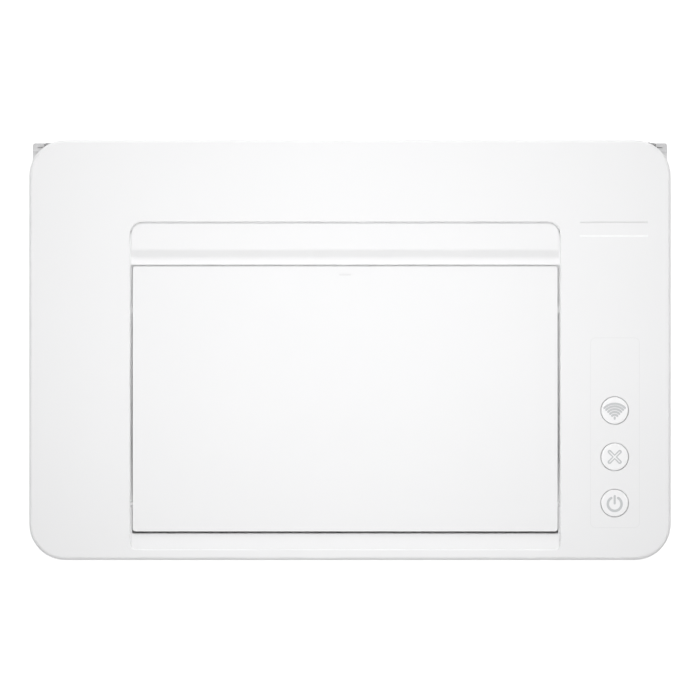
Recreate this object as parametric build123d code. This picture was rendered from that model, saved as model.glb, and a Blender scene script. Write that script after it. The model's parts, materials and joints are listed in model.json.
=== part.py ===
from build123d import *
import math
import os

# A compact single-function laser printer, in millimetres.
# X runs to the right, Y to the rear and Z up; the origin is on the table under the middle.

# Width: the sheet, and what stands beside it
sheet_width = 210.0
sheet_play = 6.1  # from the sheet to each side of the output recess
frame_margin = 10.1  # from the recess to the inner face of each side frame
frame_thickness = 2.5
drive_room = 39.7  # from the left frame to the top cover's left side
board_room = 44.7  # from the right frame to its right side

# Outer casing
depth = 217.2
height = 178.0
corner_radius = 18.6  # plan corners of the top cover
edge_roll = 1.6  # rounding of the top cover's upper edge
wall = 2.2
casing_inset = 1.3  # the lower casing stands this far inside the top cover's outline
rear_corner_radius = 1.5
panel_gap = 0.6  # parting lines between panels
foot_height = 3.0
foot_radius = 7.0
foot_inset = 24.0  # from the casing's sides to each foot's centre
floor_thickness = 2.0
split_height = 140.0  # underside of the top cover's rim
rear_return = 6.0  # how far each side cover turns round the rear corner
shelf_roll = 6.0  # rounding of the shelf that closes each rear corner under the top cover
shelf_thickness = 8.0
seat_gap = 0.3  # between pieces that seat on each other without touching
running_gap = 0.05  # radial play of a shaft in its bore
press_gap = 0.01  # between a gear or bush and what it is pressed onto
slack = 0.1  # free play of buttons, springs and the closed flap
past = 1.0  # how far a cut runs past the faces it opens
bite = 0.5  # how far a rib or post reaches into the wall it grows from

# Output recess in the top cover
recess_rear_inset = 42.6
recess_front_inset = 5.5
recess_rear_radius = 6.2
recess_front_radius = 2.6
recess_step = 0.8  # the flap and the exit lip lie this far below the top face
recess_roll = 0.7  # rounding of the recess's rim
seam_width = 0.6  # groove between that rim and what lies in the recess
seam_depth = 1.0
basin_wall = 2.0
exit_slot_gap = 9.5  # from the end of the tray floor to the exit roller's axis
exit_slot_z = 144.0
exit_arch_z = 161.0  # the basin's side walls rise to this level over the exit shaft
floor_level_length = 45.7  # level part of the tray floor, from the recess's front end
strip_drop = 1.6
strip_thickness = 2.5
flap_stop_inset = 22.7  # from the flap's rear edge
flap_stop_width = 3.0
flap_stop_height = 4.0
ledge_play = 0.2  # between the flap's sides and the ledges in its side gaps
ledge_drop = 3.4  # from the deck to the ledges
ledge_deep_drop = 7.0
ledge_deep_inset = 43.0  # from the flap's front edge to where its side gaps are deepest
ledge_bottom_drop = 10.0

# Output flap
flap_gap = 1.2  # open line along each side of the flap
flap_rear_gap = 0.6
flap_front_gap = 1.1
flap_thickness = 3.0
flap_front_inset = 9.3  # from the recess's front end
flap_corner = 1.4
flap_pin_inset = 14.0
flap_pin_drop = 5.5  # pin's axis below the top face
flap_pin_radius = 1.8
flap_boss_radius = 3.1
flap_boss_length = 7.0
flap_swing_gap = 1.1  # round the short end of the flap as it swings
finger_mark_length = 7.0
finger_mark_width = 1.0
finger_mark_inset = 4.2
finger_mark_depth = 0.4

# Exit lip behind the flap
lip_depth = 22.75  # from the recess's rear edge to the flap
lip_flat_depth = 13.9
valley_depth = 19.1
valley_drop = 2.4
ridge_drop = 1.4
lip_thickness = 2.2
lip_skirt = 5.0  # how far the lip's front edge hangs down

# Control panel
button_side_inset = 29.0
button_insets = {"wireless_button": 77.3, "cancel_button": 53.3, "power_button": 29.4}  # from the front
button_radius = 7.0
button_play = 0.4
button_cap = 3.4
button_stem_radius = 2.2
button_flange_radius = 8.4
button_flange = 1.0
button_travel = 0.8
switch_size = 6.0
switch_height = 3.6
board_thickness = 1.6
panel_board_width = 26.0
panel_board_margin = 12.0
label_side_inset = 29.4
label_rear_inset = 46.1
label_length = 35.0
label_width = 8.0
label_depth = 0.4
label_slope = 0.9  # its front and rear edges slope over this length

# Top cover hinge
hinge_back = 5.5  # hinge axis in front of the top cover's rear face
hinge_rise = 1.0  # hinge axis above the rim
hinge_pin_radius = 1.5
hinge_ear_radius = 3.0
hinge_lug_width = 5.0
hinge_pin_length = 11.0
hinge_pin_proud = 1.0
hinge_overhang = 0.8  # hinge axis behind the rear edge of the side frames
cover_clearance = 1.4  # beyond the sweep of the top cover's rear edge

# Front tray door
door_top = 124.0
door_bottom = 7.9
door_axis_inset = 4.5  # door's axis behind its outer face
door_axis_z = 10.5
door_pin_radius = 1.5
door_knuckle_radius = 3.4
door_knuckle_width = 4.0
door_ear_width = 4.0
door_pin_length = 9.0
door_side_gap = 0.4  # between the door's knuckles and the base's ears
door_notch_gap = 1.0
door_web = 4.0
extension_thickness = 1.6
extension_bottom = 16.0
extension_width = 150.0
extension_travel = 34.0
extension_rail = 3.0
extension_drop = 20.0  # from the door's top to the parked extension's top
rail_lip = 1.0
rail_overlap = 1.5
grip_width = 28.0
grip_height = 6.0

# Paper guides, rack and pinion
guide_travel = 45.0
fin_thickness = 1.6
fin_length = 30.0
fin_height = 24.0
pinion_teeth = 20
gear_module = 1.0
tooth_tip = 0.9  # in modules, above the pitch line
tooth_root = 1.2  # in modules, below it
rack_width = 5.0
rack_thickness = 2.6
rack_overrun = 7.0  # rack past the pinion's middle at rest
pinion_inset = 30.2
tray_floor_z = 9.4
tray_floor_thickness = 1.4
tray_ledge = 4.0
pinion_pin_radius = 2.0
neck_width = 3.0

# Paper lift plate
lift_axis_inset = 53.2
lift_axis_z = 11.5
lift_rod_radius = 1.5
lift_plate_thickness = 1.0
lift_plate_gap = 4.0  # between the plate and the wall that stops the paper
lift_plate_margin = 12.0
lift_bracket_gap = 1.0
lift_bracket_width = 3.5
lift_bracket_half = 3.0
spring_radius = 5.0
spring_wire = 0.5
spring_turns = 3
spring_inset = 14.0
spring_span = 130.0

# Inner side frames
frame_front_inset = 11.2
frame_step_inset = 49.2
frame_low_top = 42.0
frame_slope_rise = 20.0
frame_top = 134.0
hump_foot = 16.0  # half width of the hump that carries the exit shafts
hump_crest = 10.0
hump_rise = 6.0  # above the upper exit shaft
ear_slope = 6.0
flange_width = 10.0
flange_thickness = 2.0
screw_radius = 1.5
screw_head_radius = 2.8
screw_head = 1.4
screw_play = 0.1  # in the base
thread_play = 0.02  # in the side frames
screw_inset = 30.0  # first and last screw, from the ends of the frames

# Gear train, seen along X; every gear has the same module
drum_inset = 49.5
drum_z = 86.0
drum_radius = 12.0
drum_wall = 1.0
drum_flange = 5.0
drum_teeth = 44
drum_small_teeth = 25
heat_teeth = 24
exit_teeth = 18
feed_teeth = 16
feed_angle = -70.0
pickup_teeth = 50
pickup_angle = 228.7
transfer_teeth = 14
transfer_angle = -5.0
developer_teeth = 16
developer_angle = 185.0
idler_small_teeth = 14
idler_large_teeth = 36
idler_angle = 145.0
motor_teeth = 12
motor_angle = 175.0
gear_face = 3.5
gear_space = 1.0
backlash = 0.16
pressure_angle = 20.0

# Rollers
shaft_radius = 3.0
roller_margin = 13.0  # from a frame to a roller's end
nip_gap = 0.3
transfer_radius = 7.0
developer_radius = 8.0
charge_radius = 4.5
charge_angle = 112.0
charge_shaft_radius = 2.0
feed_radius = 6.0
feed_idler_radius = 5.0
pickup_radius = 14.0
pickup_width = 50.0
heat_radius = 10.0
heat_wall = 1.5
lamp_radius = 3.0
lamp_reach = 7.0  # how far the lamp stands out of the right frame
lamp_gap = 1.0  # between the lamp and the heat roller's bore
journal_wall = 2.0
lamp_arm_drop = 16.0  # from the lamp's axis forward to the arm's foot
lamp_arm_thickness = 2.0
lamp_arm_half = 4.0
lamp_arm_overrun = 5.0
lamp_tab = 1.5
shaft_overhang = 1.0
short_overhang = 0.5  # of shafts that carry no gear
hub_wall = 3.0
idler_hub_wall = 2.0
cartridge_hole_gap = 1.5  # round the cartridge's shafts where they pass the left frame
charge_inset = 0.2
pressure_radius = 10.0
exit_radius = 5.0
exit_idler_radius = 4.0
exit_roller_width = 14.0
exit_roller_pitch = 62.0
exit_roller_count = 3
bush_wall = 2.0
bush_overhang = 1.0

# Laser scanner
deck_z = 46.0
deck_thickness = 2.0
deck_front_inset = 51.2
deck_gap = 3.5  # between the deck and the pick-up roller
scanner_width = 196.0
scanner_height = 24.0
scanner_wall = 2.0
scanner_margin = 3.0
lens_length = 130.0
lens_thickness = 8.0
lens_height = 11.0
lens_arc_radius = 300.0
lens_inset = 11.0  # front of the lens from the housing's rear face
mirror_radius = 12.0
mirror_thickness = 5.0
mirror_sides = 6
mirror_hub_radius = 4.0
mirror_shaft_radius = 1.5
mirror_hub_height = 2.0
mirror_hub_cap = 1.0
mirror_board_margin = 1.0
mirror_board_gap = 1.0
mirror_foot_gap = 0.2
stator_radius = 9.0
stator_height = 3.0
window_height = 7.0
window_margin = 12.0  # window beyond each end of the lens
laser_inset = 4.0
laser_foot_length = 8.0
laser_foot_width = 12.0
laser_foot_height = 14.0
laser_axis_height = 8.0
laser_barrel_radius = 4.5
laser_barrel_length = 18.0

# Toner cartridge
cartridge_front_inset = 53.2
cartridge_bottom = 80.0
cartridge_top = 130.0
cartridge_wall = 2.0
cartridge_margin = 9.0  # from each frame to the cartridge's end
end_plate = 2.5
rail_inset = 10.0  # from the cartridge's front
rail_length = 60.0
rail_z = 97.0  # top of the ledges that carry the cartridge
rail_thickness = 3.0
rail_end_gap = 2.0
tab_inset = 5.0
tab_thickness = 4.0
hopper_gap = 2.0  # between the hopper and the developer roller
hopper_step = 6.0
hopper_lip = 4.0
hopper_slant = 0.7  # how far sloping walls shift along Y, for each mm of wall
fuser_gap = 1.5  # between the cartridge and the fuser
cheek_reach = 18.0  # cheeks in front of the developer roller
cheek_rise = 14.0
cheek_nose = 7.0  # and behind the drum's axis
cheek_chamfer = 5.0
cheek_wall = 4.0

# Fuser
fuser_front_reach = 13.5  # in front of the heat roller's axis
fuser_rear_reach = 14.2  # behind the pressure roller's axis
fuser_drop = 12.0
fuser_wall = 1.5
fuser_slot = 9.0
fuser_top_gap = 1.0

# Paper chute and separation pad
chute_forward = 16.5  # its centre, from the drum's axis
chute_drop = 22.0
chute_radius = 34.0
chute_thickness = 2.0
chute_sweep = 62.0
pad_width = 44.0
pad_thickness = 3.0
pad_length = 10.0
stop_wall_offset = 0.5  # behind the pick-up roller's axis
stop_wall_thickness = 2.0
stop_wall_top = 30.0

# Drive and electronics
motor_radius = 20.0
motor_thickness = 15.0
motor_shaft_radius = 2.5
motor_shaft_depth = 8.0
drive_plate_thickness = 1.5
drive_post_radius = 3.0
drive_post_reach = 24.0  # front posts, in front of the motor
drive_post_rise = 8.0
drive_post_inset = 7.2  # rear posts, in front of the frame's rear edge
drive_post_drop = 16.0
drive_post_lift = 5.0
drive_plate_margin = 6.0
drive_shaft_gap = 0.5
motor_end_gap = 0.3
main_board_rear_inset = 18.0
main_board_step_gap = 10.0  # behind the step in the side frames
main_board_bottom = 58.0
main_board_height = 54.0
board_standoff = 5.0
standoff_radius = 3.0
standoff_inset = 5.0
processor_size = 18.0
processor_height = 1.6
processor_inset = 80.0  # centres from the board's rear edge
processor_rise = 30.0  # and from its lower edge
memory_size = 12.0
memory_height = 1.4
memory_inset = 50.0
memory_rise = 34.0
connector_size = 14.0
connector_height = 9.0
connector_inset = 110.0
connector_rise = 40.0
chip_foot = 0.2
inlet_width = 28.0
inlet_height = 20.0
inlet_depth = 18.0
inlet_side_inset = 24.2
inlet_z = 32.0
inlet_bezel = 2.0
inlet_bezel_thickness = 1.0
inlet_side_wall = 2.0
inlet_top_wall = 3.0
inlet_mouth = 14.0
usb_width = 12.0
usb_height = 11.0
usb_side_wall = 1.8
usb_top_wall = 1.6
usb_mouth = 10.0
usb_overlap = 6.0  # of the port over the main board
usb_rise = 18.0  # above the main board's lower edge
power_board_length = 70.0
power_board_width = 26.0
power_board_gap = 2.0
power_pillar_inset = 4.0
transformer_length = 22.0
transformer_height = 20.0
transformer_front = 6.0  # from the board's front edge, as are the next two
capacitor_middle = 40.0
heat_sink_front = 50.0
part_inset = 3.0  # of the parts from the board's sides
capacitor_radius = 7.5
capacitor_height = 24.0
heat_sink_thickness = 3.0
heat_sink_height = 22.0
vent_count = 12
vent_width = 3.0
vent_pitch = 7.0
rear_vent_height = 26.0
rear_vent_z = 92.0
side_vent_height = 30.0
side_vent_z = 70.0
side_vent_inset = 78.0

# Levels and edges worked out from the sizes above
recess_width = sheet_width + 2 * sheet_play
frame_width = recess_width + 2 * frame_margin
width = drive_room + frame_thickness + frame_width + frame_thickness + board_room
path_x = (drive_room - board_room) / 2  # middle of the paper path
half_width = width / 2
front = -depth / 2
rear = depth / 2
case_half = half_width - casing_inset
case_front = front + casing_inset
case_rear = rear - casing_inset
case_corner = corner_radius - casing_inset
floor_top = foot_height + floor_thickness
recess_left = path_x - recess_width / 2
recess_right = path_x + recess_width / 2
recess_front = front + recess_front_inset
recess_rear = rear - recess_rear_inset
floor_rise_y = recess_front + floor_level_length
flap_front = recess_front + flap_front_inset
flap_rear = recess_rear - lip_depth
flap_pin_y = flap_front + flap_pin_inset
button_x = half_width - button_side_inset
button_rows = {name: front + inset for name, inset in button_insets.items()}
deck_level = height - recess_step
hinge_y = rear - hinge_back
hinge_z = split_height + hinge_rise
hinge_relief = math.hypot(hinge_back, hinge_rise) + cover_clearance
door_half = half_width - corner_radius - panel_gap
door_axis_y = case_front + door_axis_inset
flap_pin_z = height - flap_pin_drop
frame_left = path_x - frame_width / 2  # inner faces
frame_right = path_x + frame_width / 2
outer_left = frame_left - frame_thickness
outer_right = frame_right + frame_thickness
frame_front = front + frame_front_inset
frame_rear = hinge_y - hinge_overhang
frame_step_y = front + frame_step_inset
screw_rows = [frame_front + screw_inset, (frame_front + frame_rear) / 2, frame_rear - screw_inset]
pinion_y = front + pinion_inset
lift_axis_y = front + lift_axis_inset
cartridge_front = front + cartridge_front_inset
deck_front = front + deck_front_inset
mirror_board_half = mirror_radius + mirror_board_margin
mirror_y = deck_front + scanner_margin + scanner_wall + mirror_board_gap + mirror_board_half
inlet_x = case_half - inlet_side_inset
main_board_rear = rear - main_board_rear_inset
main_board_length = main_board_rear - frame_step_y - main_board_step_gap
main_board_front = main_board_rear - main_board_length
main_board_top = main_board_bottom + main_board_height
usb_z = main_board_bottom + usb_rise
drum_y = rear - drum_inset
roller_left = frame_left + roller_margin
roller_right = frame_right - roller_margin
plane_a = outer_left - bush_overhang - gear_space  # right-hand face of each gear plane
plane_b = plane_a - gear_face - gear_space
plane_c = plane_b - gear_face - gear_space
drive_x = plane_c - gear_face - gear_space
pinion_radius = gear_module * pinion_teeth / 2


def pitch_distance(teeth_a, teeth_b):
    return gear_module * (teeth_a + teeth_b) / 2


def polar(y, z, distance, angle):
    turn = math.radians(angle)
    return y + distance * math.cos(turn), z + distance * math.sin(turn)


# Axes of the rollers and gears, as (y, z)
drum_axis = (drum_y, drum_z)
heat_axis = (drum_y, drum_z + pitch_distance(drum_teeth, heat_teeth))
exit_axis = (drum_y, heat_axis[1] + pitch_distance(heat_teeth, exit_teeth))
feed_axis = polar(*drum_axis, pitch_distance(drum_teeth, feed_teeth), feed_angle)
pickup_axis = polar(*drum_axis, pitch_distance(drum_teeth, pickup_teeth), pickup_angle)
transfer_axis = polar(*drum_axis, pitch_distance(drum_small_teeth, transfer_teeth), transfer_angle)
developer_axis = polar(*drum_axis, pitch_distance(drum_small_teeth, developer_teeth), developer_angle)
idler_axis = polar(*drum_axis, pitch_distance(drum_teeth, idler_small_teeth), idler_angle)
motor_axis = polar(*idler_axis, pitch_distance(idler_large_teeth, motor_teeth), motor_angle)
charge_axis = polar(*drum_axis, drum_radius + charge_radius + nip_gap, charge_angle)
pressure_axis = (heat_axis[0] + heat_radius + pressure_radius + nip_gap, heat_axis[1])
feed_idler_axis = (feed_axis[0] + feed_radius + feed_idler_radius + nip_gap, feed_axis[1])
exit_idler_axis = (exit_axis[0], exit_axis[1] + exit_radius + exit_idler_radius + nip_gap)

# Edges that follow the rollers
exit_slot_y = exit_axis[0] - exit_slot_gap
fuser_front = heat_axis[0] - fuser_front_reach
fuser_rear = pressure_axis[0] + fuser_rear_reach
fuser_bottom = heat_axis[1] - fuser_drop
stop_wall_y = pickup_axis[0] + stop_wall_offset
lift_plate_rear = stop_wall_y - lift_plate_gap
deck_rear = pickup_axis[0] - pickup_radius - deck_gap
rail_front = cartridge_front + rail_inset
rail_rear = rail_front + rail_length


def block(x0, x1, y0, y1, z0, z1):
    """A box between two corners."""
    return Pos((x0 + x1) / 2, (y0 + y1) / 2, (z0 + z1) / 2) * Box(x1 - x0, y1 - y0, z1 - z0)


def rounded_block(x0, x1, y0, y1, z0, z1, front_radius, rear_radius):
    """A box whose upright edges are rounded, by one radius in front and another behind."""
    body = block(x0, x1, y0, y1, z0, z1)
    upright = body.edges().filter_by(Axis.Z).sort_by(Axis.Y)
    body = fillet(upright[:2], front_radius)
    upright = body.edges().filter_by(Axis.Z).filter_by(lambda edge: edge.center().Y > y1 - rear_radius / 2)
    return fillet(upright, rear_radius)


def x_rod(radius, x0, x1, axis):
    """A round bar along X on the given (y, z) axis."""
    return Pos((x0 + x1) / 2, axis[0], axis[1]) * Rot(0, 90, 0) * Cylinder(radius, x1 - x0)


def x_tube(outer, inner, x0, x1, axis):
    return x_rod(outer, x0, x1, axis) - x_rod(inner, x0 - past, x1 + past, axis)


def y_rod(radius, x, y0, y1, z):
    return Pos(x, (y0 + y1) / 2, z) * Rot(90, 0, 0) * Cylinder(radius, y1 - y0)


def z_rod(radius, x, y, z0, z1):
    return Pos(x, y, (z0 + z1) / 2) * Cylinder(radius, z1 - z0)


def side_prism(outline, x0, x1):
    """A side view outline of (y, z) points, carried from x0 to x1."""
    face = Face(Wire.make_polygon([(x0, y, z) for y, z in outline], close=True))
    return Part() + Solid.extrude(face, Vector(x1 - x0, 0, 0))


def gear_outline(teeth, phase):
    """Points of an involute spur gear about the origin, with a tooth at the angle phase."""
    pitch_radius = gear_module * teeth / 2
    base_radius = pitch_radius * math.cos(math.radians(pressure_angle))
    tip_radius = pitch_radius + tooth_tip * gear_module
    root_radius = pitch_radius - tooth_root * gear_module
    middle_radius = (max(base_radius, root_radius) + tip_radius) / 2
    half_tooth = math.pi / (2 * teeth) - backlash / (2 * pitch_radius)

    def involute(radius):
        slope = math.acos(min(1.0, base_radius / radius))
        return math.tan(slope) - slope

    def flank(radius):
        return half_tooth + involute(pitch_radius) - involute(radius)

    radii = [root_radius, middle_radius, tip_radius]
    points = []
    for tooth in range(teeth):
        middle = phase + tooth * 2 * math.pi / teeth
        for side, order in ((-1, radii), (1, radii[::-1])):
            for radius in order:
                angle = middle + side * flank(radius)
                points.append((radius * math.cos(angle), radius * math.sin(angle)))
    return points


def x_gear(teeth, phase, bore, x0, axis):
    """A spur gear whose right-hand face stands at x0."""
    outline = [(axis[0] + y, axis[1] + z) for y, z in gear_outline(teeth, phase)]
    return side_prism(outline, x0 - gear_face, x0) - x_rod(bore, x0 - gear_face - past, x0 + past, axis)


def line_angle(start, end):
    return math.atan2(end[1] - start[1], end[0] - start[0])


def meshed_phase(teeth_a, phase_a, axis_a, teeth_b, axis_b):
    """The phase at which gear b has a gap where gear a has a tooth."""
    across = line_angle(axis_a, axis_b)
    return across + math.pi - teeth_a / teeth_b * (phase_a - across) + math.pi / teeth_b


def save(name, shape):
    export_step(shape if isinstance(shape, Compound) else Compound(children=[shape]), f"parts/{name}.step")


def button_ceiling():
    return height - wall - slack


def switch_level():
    """Level of the tops of the switches, below the buttons' stems."""
    return button_ceiling() - button_flange - button_cap - button_travel - slack


def panel_board_level():
    return switch_level() - switch_height


def panel_board_edges():
    rows = button_rows.values()
    return min(rows) - panel_board_margin, max(rows) + panel_board_margin


def recess_prism(z0, z1):
    return rounded_block(recess_left, recess_right, recess_front, recess_rear, z0, z1,
                         recess_front_radius, recess_rear_radius)


def hinge_lugs():
    """Two eyes that hang from the top cover beside the inner frames."""
    eyes = []
    for inner_face, toward in ((frame_left, 1), (frame_right, -1)):
        x0, x1 = sorted((inner_face + toward * panel_gap, inner_face + toward * (panel_gap + hinge_lug_width)))
        eye = x_rod(hinge_ear_radius, x0, x1, (hinge_y, hinge_z))
        web = block(x0, x1, hinge_y - hinge_ear_radius, rear - wall, hinge_z, height - wall)
        bore = x_rod(hinge_pin_radius + running_gap, x0 - past, x1 + past, (hinge_y, hinge_z))
        eyes.append(eye + web - bore)
    return eyes


def top_cover():
    outer = rounded_block(-half_width, half_width, front, rear, split_height, height, corner_radius, corner_radius)
    outer = fillet(outer.faces().sort_by(Axis.Z)[-1].edges(), edge_roll)
    inner_corner = corner_radius - wall
    inner = rounded_block(-half_width + wall, half_width - wall, front + wall, rear - wall,
                          split_height - past, height - wall, inner_corner, inner_corner)
    cover = outer - inner - recess_prism(height - wall - past, height + past)
    cover = fillet(cover.faces().sort_by(Axis.Z)[-1].inner_wires()[0].edges(), recess_roll)
    cover += block(-door_half, door_half, front, front + wall, door_top + panel_gap, split_height)
    for y in button_rows.values():
        cover -= z_rod(button_radius + button_play, button_x, y, height - wall - past, height + past)
    label_x = half_width - label_side_inset
    label_front = rear - label_rear_inset - label_width / 2
    label_rear = rear - label_rear_inset + label_width / 2
    label_place = [(label_front, height), (label_front + label_slope, height - label_depth),
                   (label_rear - label_slope, height - label_depth), (label_rear, height)]
    cover -= side_prism(label_place, label_x - label_length / 2, label_x + label_length / 2)
    for eye in hinge_lugs():
        cover += eye
    near, far = panel_board_edges()
    for side in (-1, 1):
        for y in (near + standoff_radius, far - standoff_radius):
            x = button_x + side * (panel_board_width / 2 - standoff_radius)
            cover += z_rod(standoff_radius, x, y, panel_board_level(), height - wall)
    return cover


def well_radius():
    """Room that the flap's short end needs as it swings down about its pins."""
    return math.hypot(flap_front - flap_pin_y, deck_level - flap_pin_z) + flap_swing_gap


def output_tray():
    well_z = flap_pin_z - well_radius()
    strip_y = flap_front - flap_front_gap
    strip_z = deck_level - strip_drop
    top_line = [(exit_slot_y, exit_slot_z), (floor_rise_y, well_z), (strip_y, well_z), (strip_y, strip_z),
                (recess_front, deck_level)]
    bottom_line = [(recess_front, deck_level - strip_thickness), (strip_y - basin_wall, strip_z - strip_thickness),
                   (strip_y - basin_wall, well_z - basin_wall), (floor_rise_y, well_z - basin_wall),
                   (exit_slot_y, exit_slot_z - basin_wall)]
    ceiling = height - wall
    floor = side_prism(top_line + bottom_line, recess_left, recess_right)
    corners = block(recess_left, recess_right, recess_front, strip_y, ceiling, height)
    floor -= corners - recess_prism(ceiling - past, height + past)
    seam_line = [(recess_front, deck_level - seam_depth), (strip_y, strip_z - seam_depth), (strip_y, height),
                 (recess_front, height)]
    for x0, x1 in ((recess_left, recess_left + seam_width), (recess_right - seam_width, recess_right)):
        floor -= side_prism(seam_line, x0, x1)
    wall_line = [(recess_front, ceiling)] + bottom_line
    wall_line += [(exit_slot_y, exit_arch_z), (recess_rear, exit_arch_z), (recess_rear, ceiling)]
    basin = floor
    stop_y = flap_rear - flap_stop_inset
    stop_z = deck_level - flap_thickness
    ledge_z = deck_level - ledge_drop
    ledge_bottom = deck_level - ledge_bottom_drop
    ledge_line = [(flap_rear, ledge_z), (flap_front + ledge_deep_inset, deck_level - ledge_deep_drop),
                  (flap_pin_y, ledge_z), (strip_y, ledge_z), (strip_y, ledge_bottom), (flap_rear, ledge_bottom)]
    for x0, x1, toward in ((recess_left - basin_wall, recess_left, 1),
                           (recess_right, recess_right + basin_wall, -1)):
        basin += side_prism(wall_line, x0, x1)
        inner_face = x1 if toward > 0 else x0
        s0, s1 = sorted((inner_face, inner_face + toward * (flap_gap + basin_wall)))
        basin += block(s0, s1, stop_y - flap_stop_width / 2, stop_y + flap_stop_width / 2,
                       stop_z - flap_stop_height, stop_z - slack)
        l0, l1 = sorted((inner_face - toward * bite, inner_face + toward * (flap_gap - ledge_play)))
        basin += side_prism(ledge_line, l0, l1)
    bore = x_rod(flap_pin_radius + running_gap, recess_left - basin_wall - past, recess_right + basin_wall + past,
                 (flap_pin_y, flap_pin_z))
    return basin - bore


def exit_lip():
    ridge_y = flap_rear + flap_rear_gap
    ridge_z = deck_level - ridge_drop
    miter = lip_thickness / 2
    flat_y = recess_rear - lip_flat_depth
    valley_y = recess_rear - valley_depth
    outline = [
        (recess_rear, deck_level),
        (flat_y, deck_level),
        (valley_y, deck_level - valley_drop),
        (ridge_y, ridge_z),
        (ridge_y, ridge_z - lip_skirt),
        (ridge_y + lip_thickness, ridge_z - lip_skirt),
        (valley_y + miter, deck_level - valley_drop - lip_thickness),
        (flat_y + miter, deck_level - lip_thickness),
        (recess_rear, deck_level - lip_thickness),
    ]
    lip = side_prism(outline, recess_left, recess_right) & recess_prism(split_height, height)
    seam_bottom = deck_level - seam_depth
    kept = rounded_block(recess_left + seam_width, recess_right - seam_width, recess_front,
                         recess_rear - seam_width, seam_bottom - past, height + past, recess_front_radius,
                         recess_rear_radius - seam_width)
    return lip - (recess_prism(seam_bottom, height + past) - kept)


def output_flap():
    left = recess_left + flap_gap
    right = recess_right - flap_gap
    flap = rounded_block(left, right, flap_front, flap_rear, deck_level - flap_thickness, deck_level,
                         flap_corner, flap_corner)
    pin_axis = (flap_pin_y, flap_pin_z)
    pin_length = flap_gap + basin_wall - seat_gap
    for edge, toward in ((left, 1), (right, -1)):
        b0, b1 = sorted((edge, edge + toward * flap_boss_length))
        flap += x_rod(flap_boss_radius, b0, b1, pin_axis)
        p0, p1 = sorted((edge + toward * bite, edge - toward * pin_length))
        flap += x_rod(flap_pin_radius, p0, p1, pin_axis)
    mark_y = flap_rear - finger_mark_inset
    return flap - block(path_x - finger_mark_length / 2, path_x + finger_mark_length / 2,
                        mark_y - finger_mark_width / 2, mark_y + finger_mark_width / 2,
                        deck_level - finger_mark_depth, deck_level + past)


def button(y):
    """A round cap in its hole, with a flange behind the panel and a stem above its switch."""
    flange_top = button_ceiling()
    cap = z_rod(button_radius, button_x, y, flange_top, height - slack)
    flange = z_rod(button_flange_radius, button_x, y, flange_top - button_flange, flange_top)
    stem = z_rod(button_stem_radius, button_x, y, switch_level() + button_travel + slack, flange_top)
    return cap + flange + stem


def control_board():
    near, far = panel_board_edges()
    top = panel_board_level()
    return block(button_x - panel_board_width / 2, button_x + panel_board_width / 2, near, far,
                 top - board_thickness, top)


def button_switches():
    half = switch_size / 2
    level = panel_board_level()
    return Compound(children=[block(button_x - half, button_x + half, y - half, y + half, level,
                                    level + switch_height) for y in button_rows.values()])


def base_frame():
    """The floor of the printer with the ears, ledges and the wall that stops the paper."""
    base = rounded_block(-case_half, case_half, case_front, case_rear, foot_height, floor_top,
                         case_corner, rear_corner_radius)
    ear_half = door_knuckle_radius
    for side in (-1, 1):
        x0, x1 = sorted((side * door_half, side * (door_half - door_ear_width)))
        ear = block(x0, x1, door_axis_y - ear_half, door_axis_y + ear_half, floor_top, door_axis_z)
        ear += x_rod(ear_half, x0, x1, (door_axis_y, door_axis_z))
        base += ear - x_rod(door_pin_radius, x0 - past, x1 + past, (door_axis_y, door_axis_z))
    base += block(frame_left, frame_right, stop_wall_y, stop_wall_y + stop_wall_thickness, floor_top, stop_wall_top)
    base += block(path_x - pad_width / 2, path_x + pad_width / 2, stop_wall_y, stop_wall_y + pad_length,
                  floor_top, pad_bottom())
    for x0, x1 in ((frame_left, frame_left + tray_ledge), (frame_right - tray_ledge, frame_right)):
        base += block(x0, x1, frame_front, frame_step_y, floor_top, tray_floor_z)
    for x0, x1 in lift_bracket_spans():
        bracket = block(x0, x1, lift_axis_y - lift_bracket_half, lift_axis_y + lift_bracket_half, floor_top,
                        lift_axis_z + lift_bracket_half)
        base += bracket - x_rod(lift_rod_radius + running_gap, x0 - past, x1 + past, (lift_axis_y, lift_axis_z))
    base += z_rod(pinion_pin_radius, path_x, pinion_y, floor_top, tray_floor_z)
    for pillar in power_board_pillars():
        base += pillar
    for x in screw_columns():
        for y in screw_rows:
            base -= z_rod(screw_radius + screw_play, x, y, foot_height - past, floor_top + past)
    return base


def lift_bracket_spans():
    left = frame_left + lift_plate_margin
    right = frame_right - lift_plate_margin
    reach = lift_bracket_gap + lift_bracket_width
    return [(left - reach, left - lift_bracket_gap), (right + lift_bracket_gap, right + reach)]


def pad_bottom():
    return pickup_axis[1] - pickup_radius - nip_gap - pad_thickness


def screw_columns():
    return [outer_left - flange_width / 2, outer_right + flange_width / 2]


def rubber_feet():
    feet = []
    for x in (-case_half + foot_inset, case_half - foot_inset):
        for y in (case_front + foot_inset, case_rear - foot_inset):
            feet.append(z_rod(foot_radius, x, y, 0, foot_height))
    return Compound(children=feet)


def frame_screws():
    screws = []
    for x in screw_columns():
        for y in screw_rows:
            head = z_rod(screw_head_radius, x, y, foot_height - screw_head, foot_height)
            shank = z_rod(screw_radius, x, y, foot_height - bite, floor_top + flange_thickness)
            screws.append(head + shank)
    return Compound(children=screws)


def casing_shell():
    """The rounded tube of wall that the side covers and the rear cover are cut from."""
    top = split_height - panel_gap
    outer = rounded_block(-case_half, case_half, case_front, case_rear, floor_top, top,
                          case_corner, rear_corner_radius)
    inner = rounded_block(-case_half + wall, case_half - wall, case_front + wall, case_rear - wall,
                          floor_top - past, top + past, case_corner - wall, rear_corner_radius / 2)
    relief = x_rod(hinge_relief, -half_width, half_width, (hinge_y, hinge_z))
    return outer - inner - relief


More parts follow.
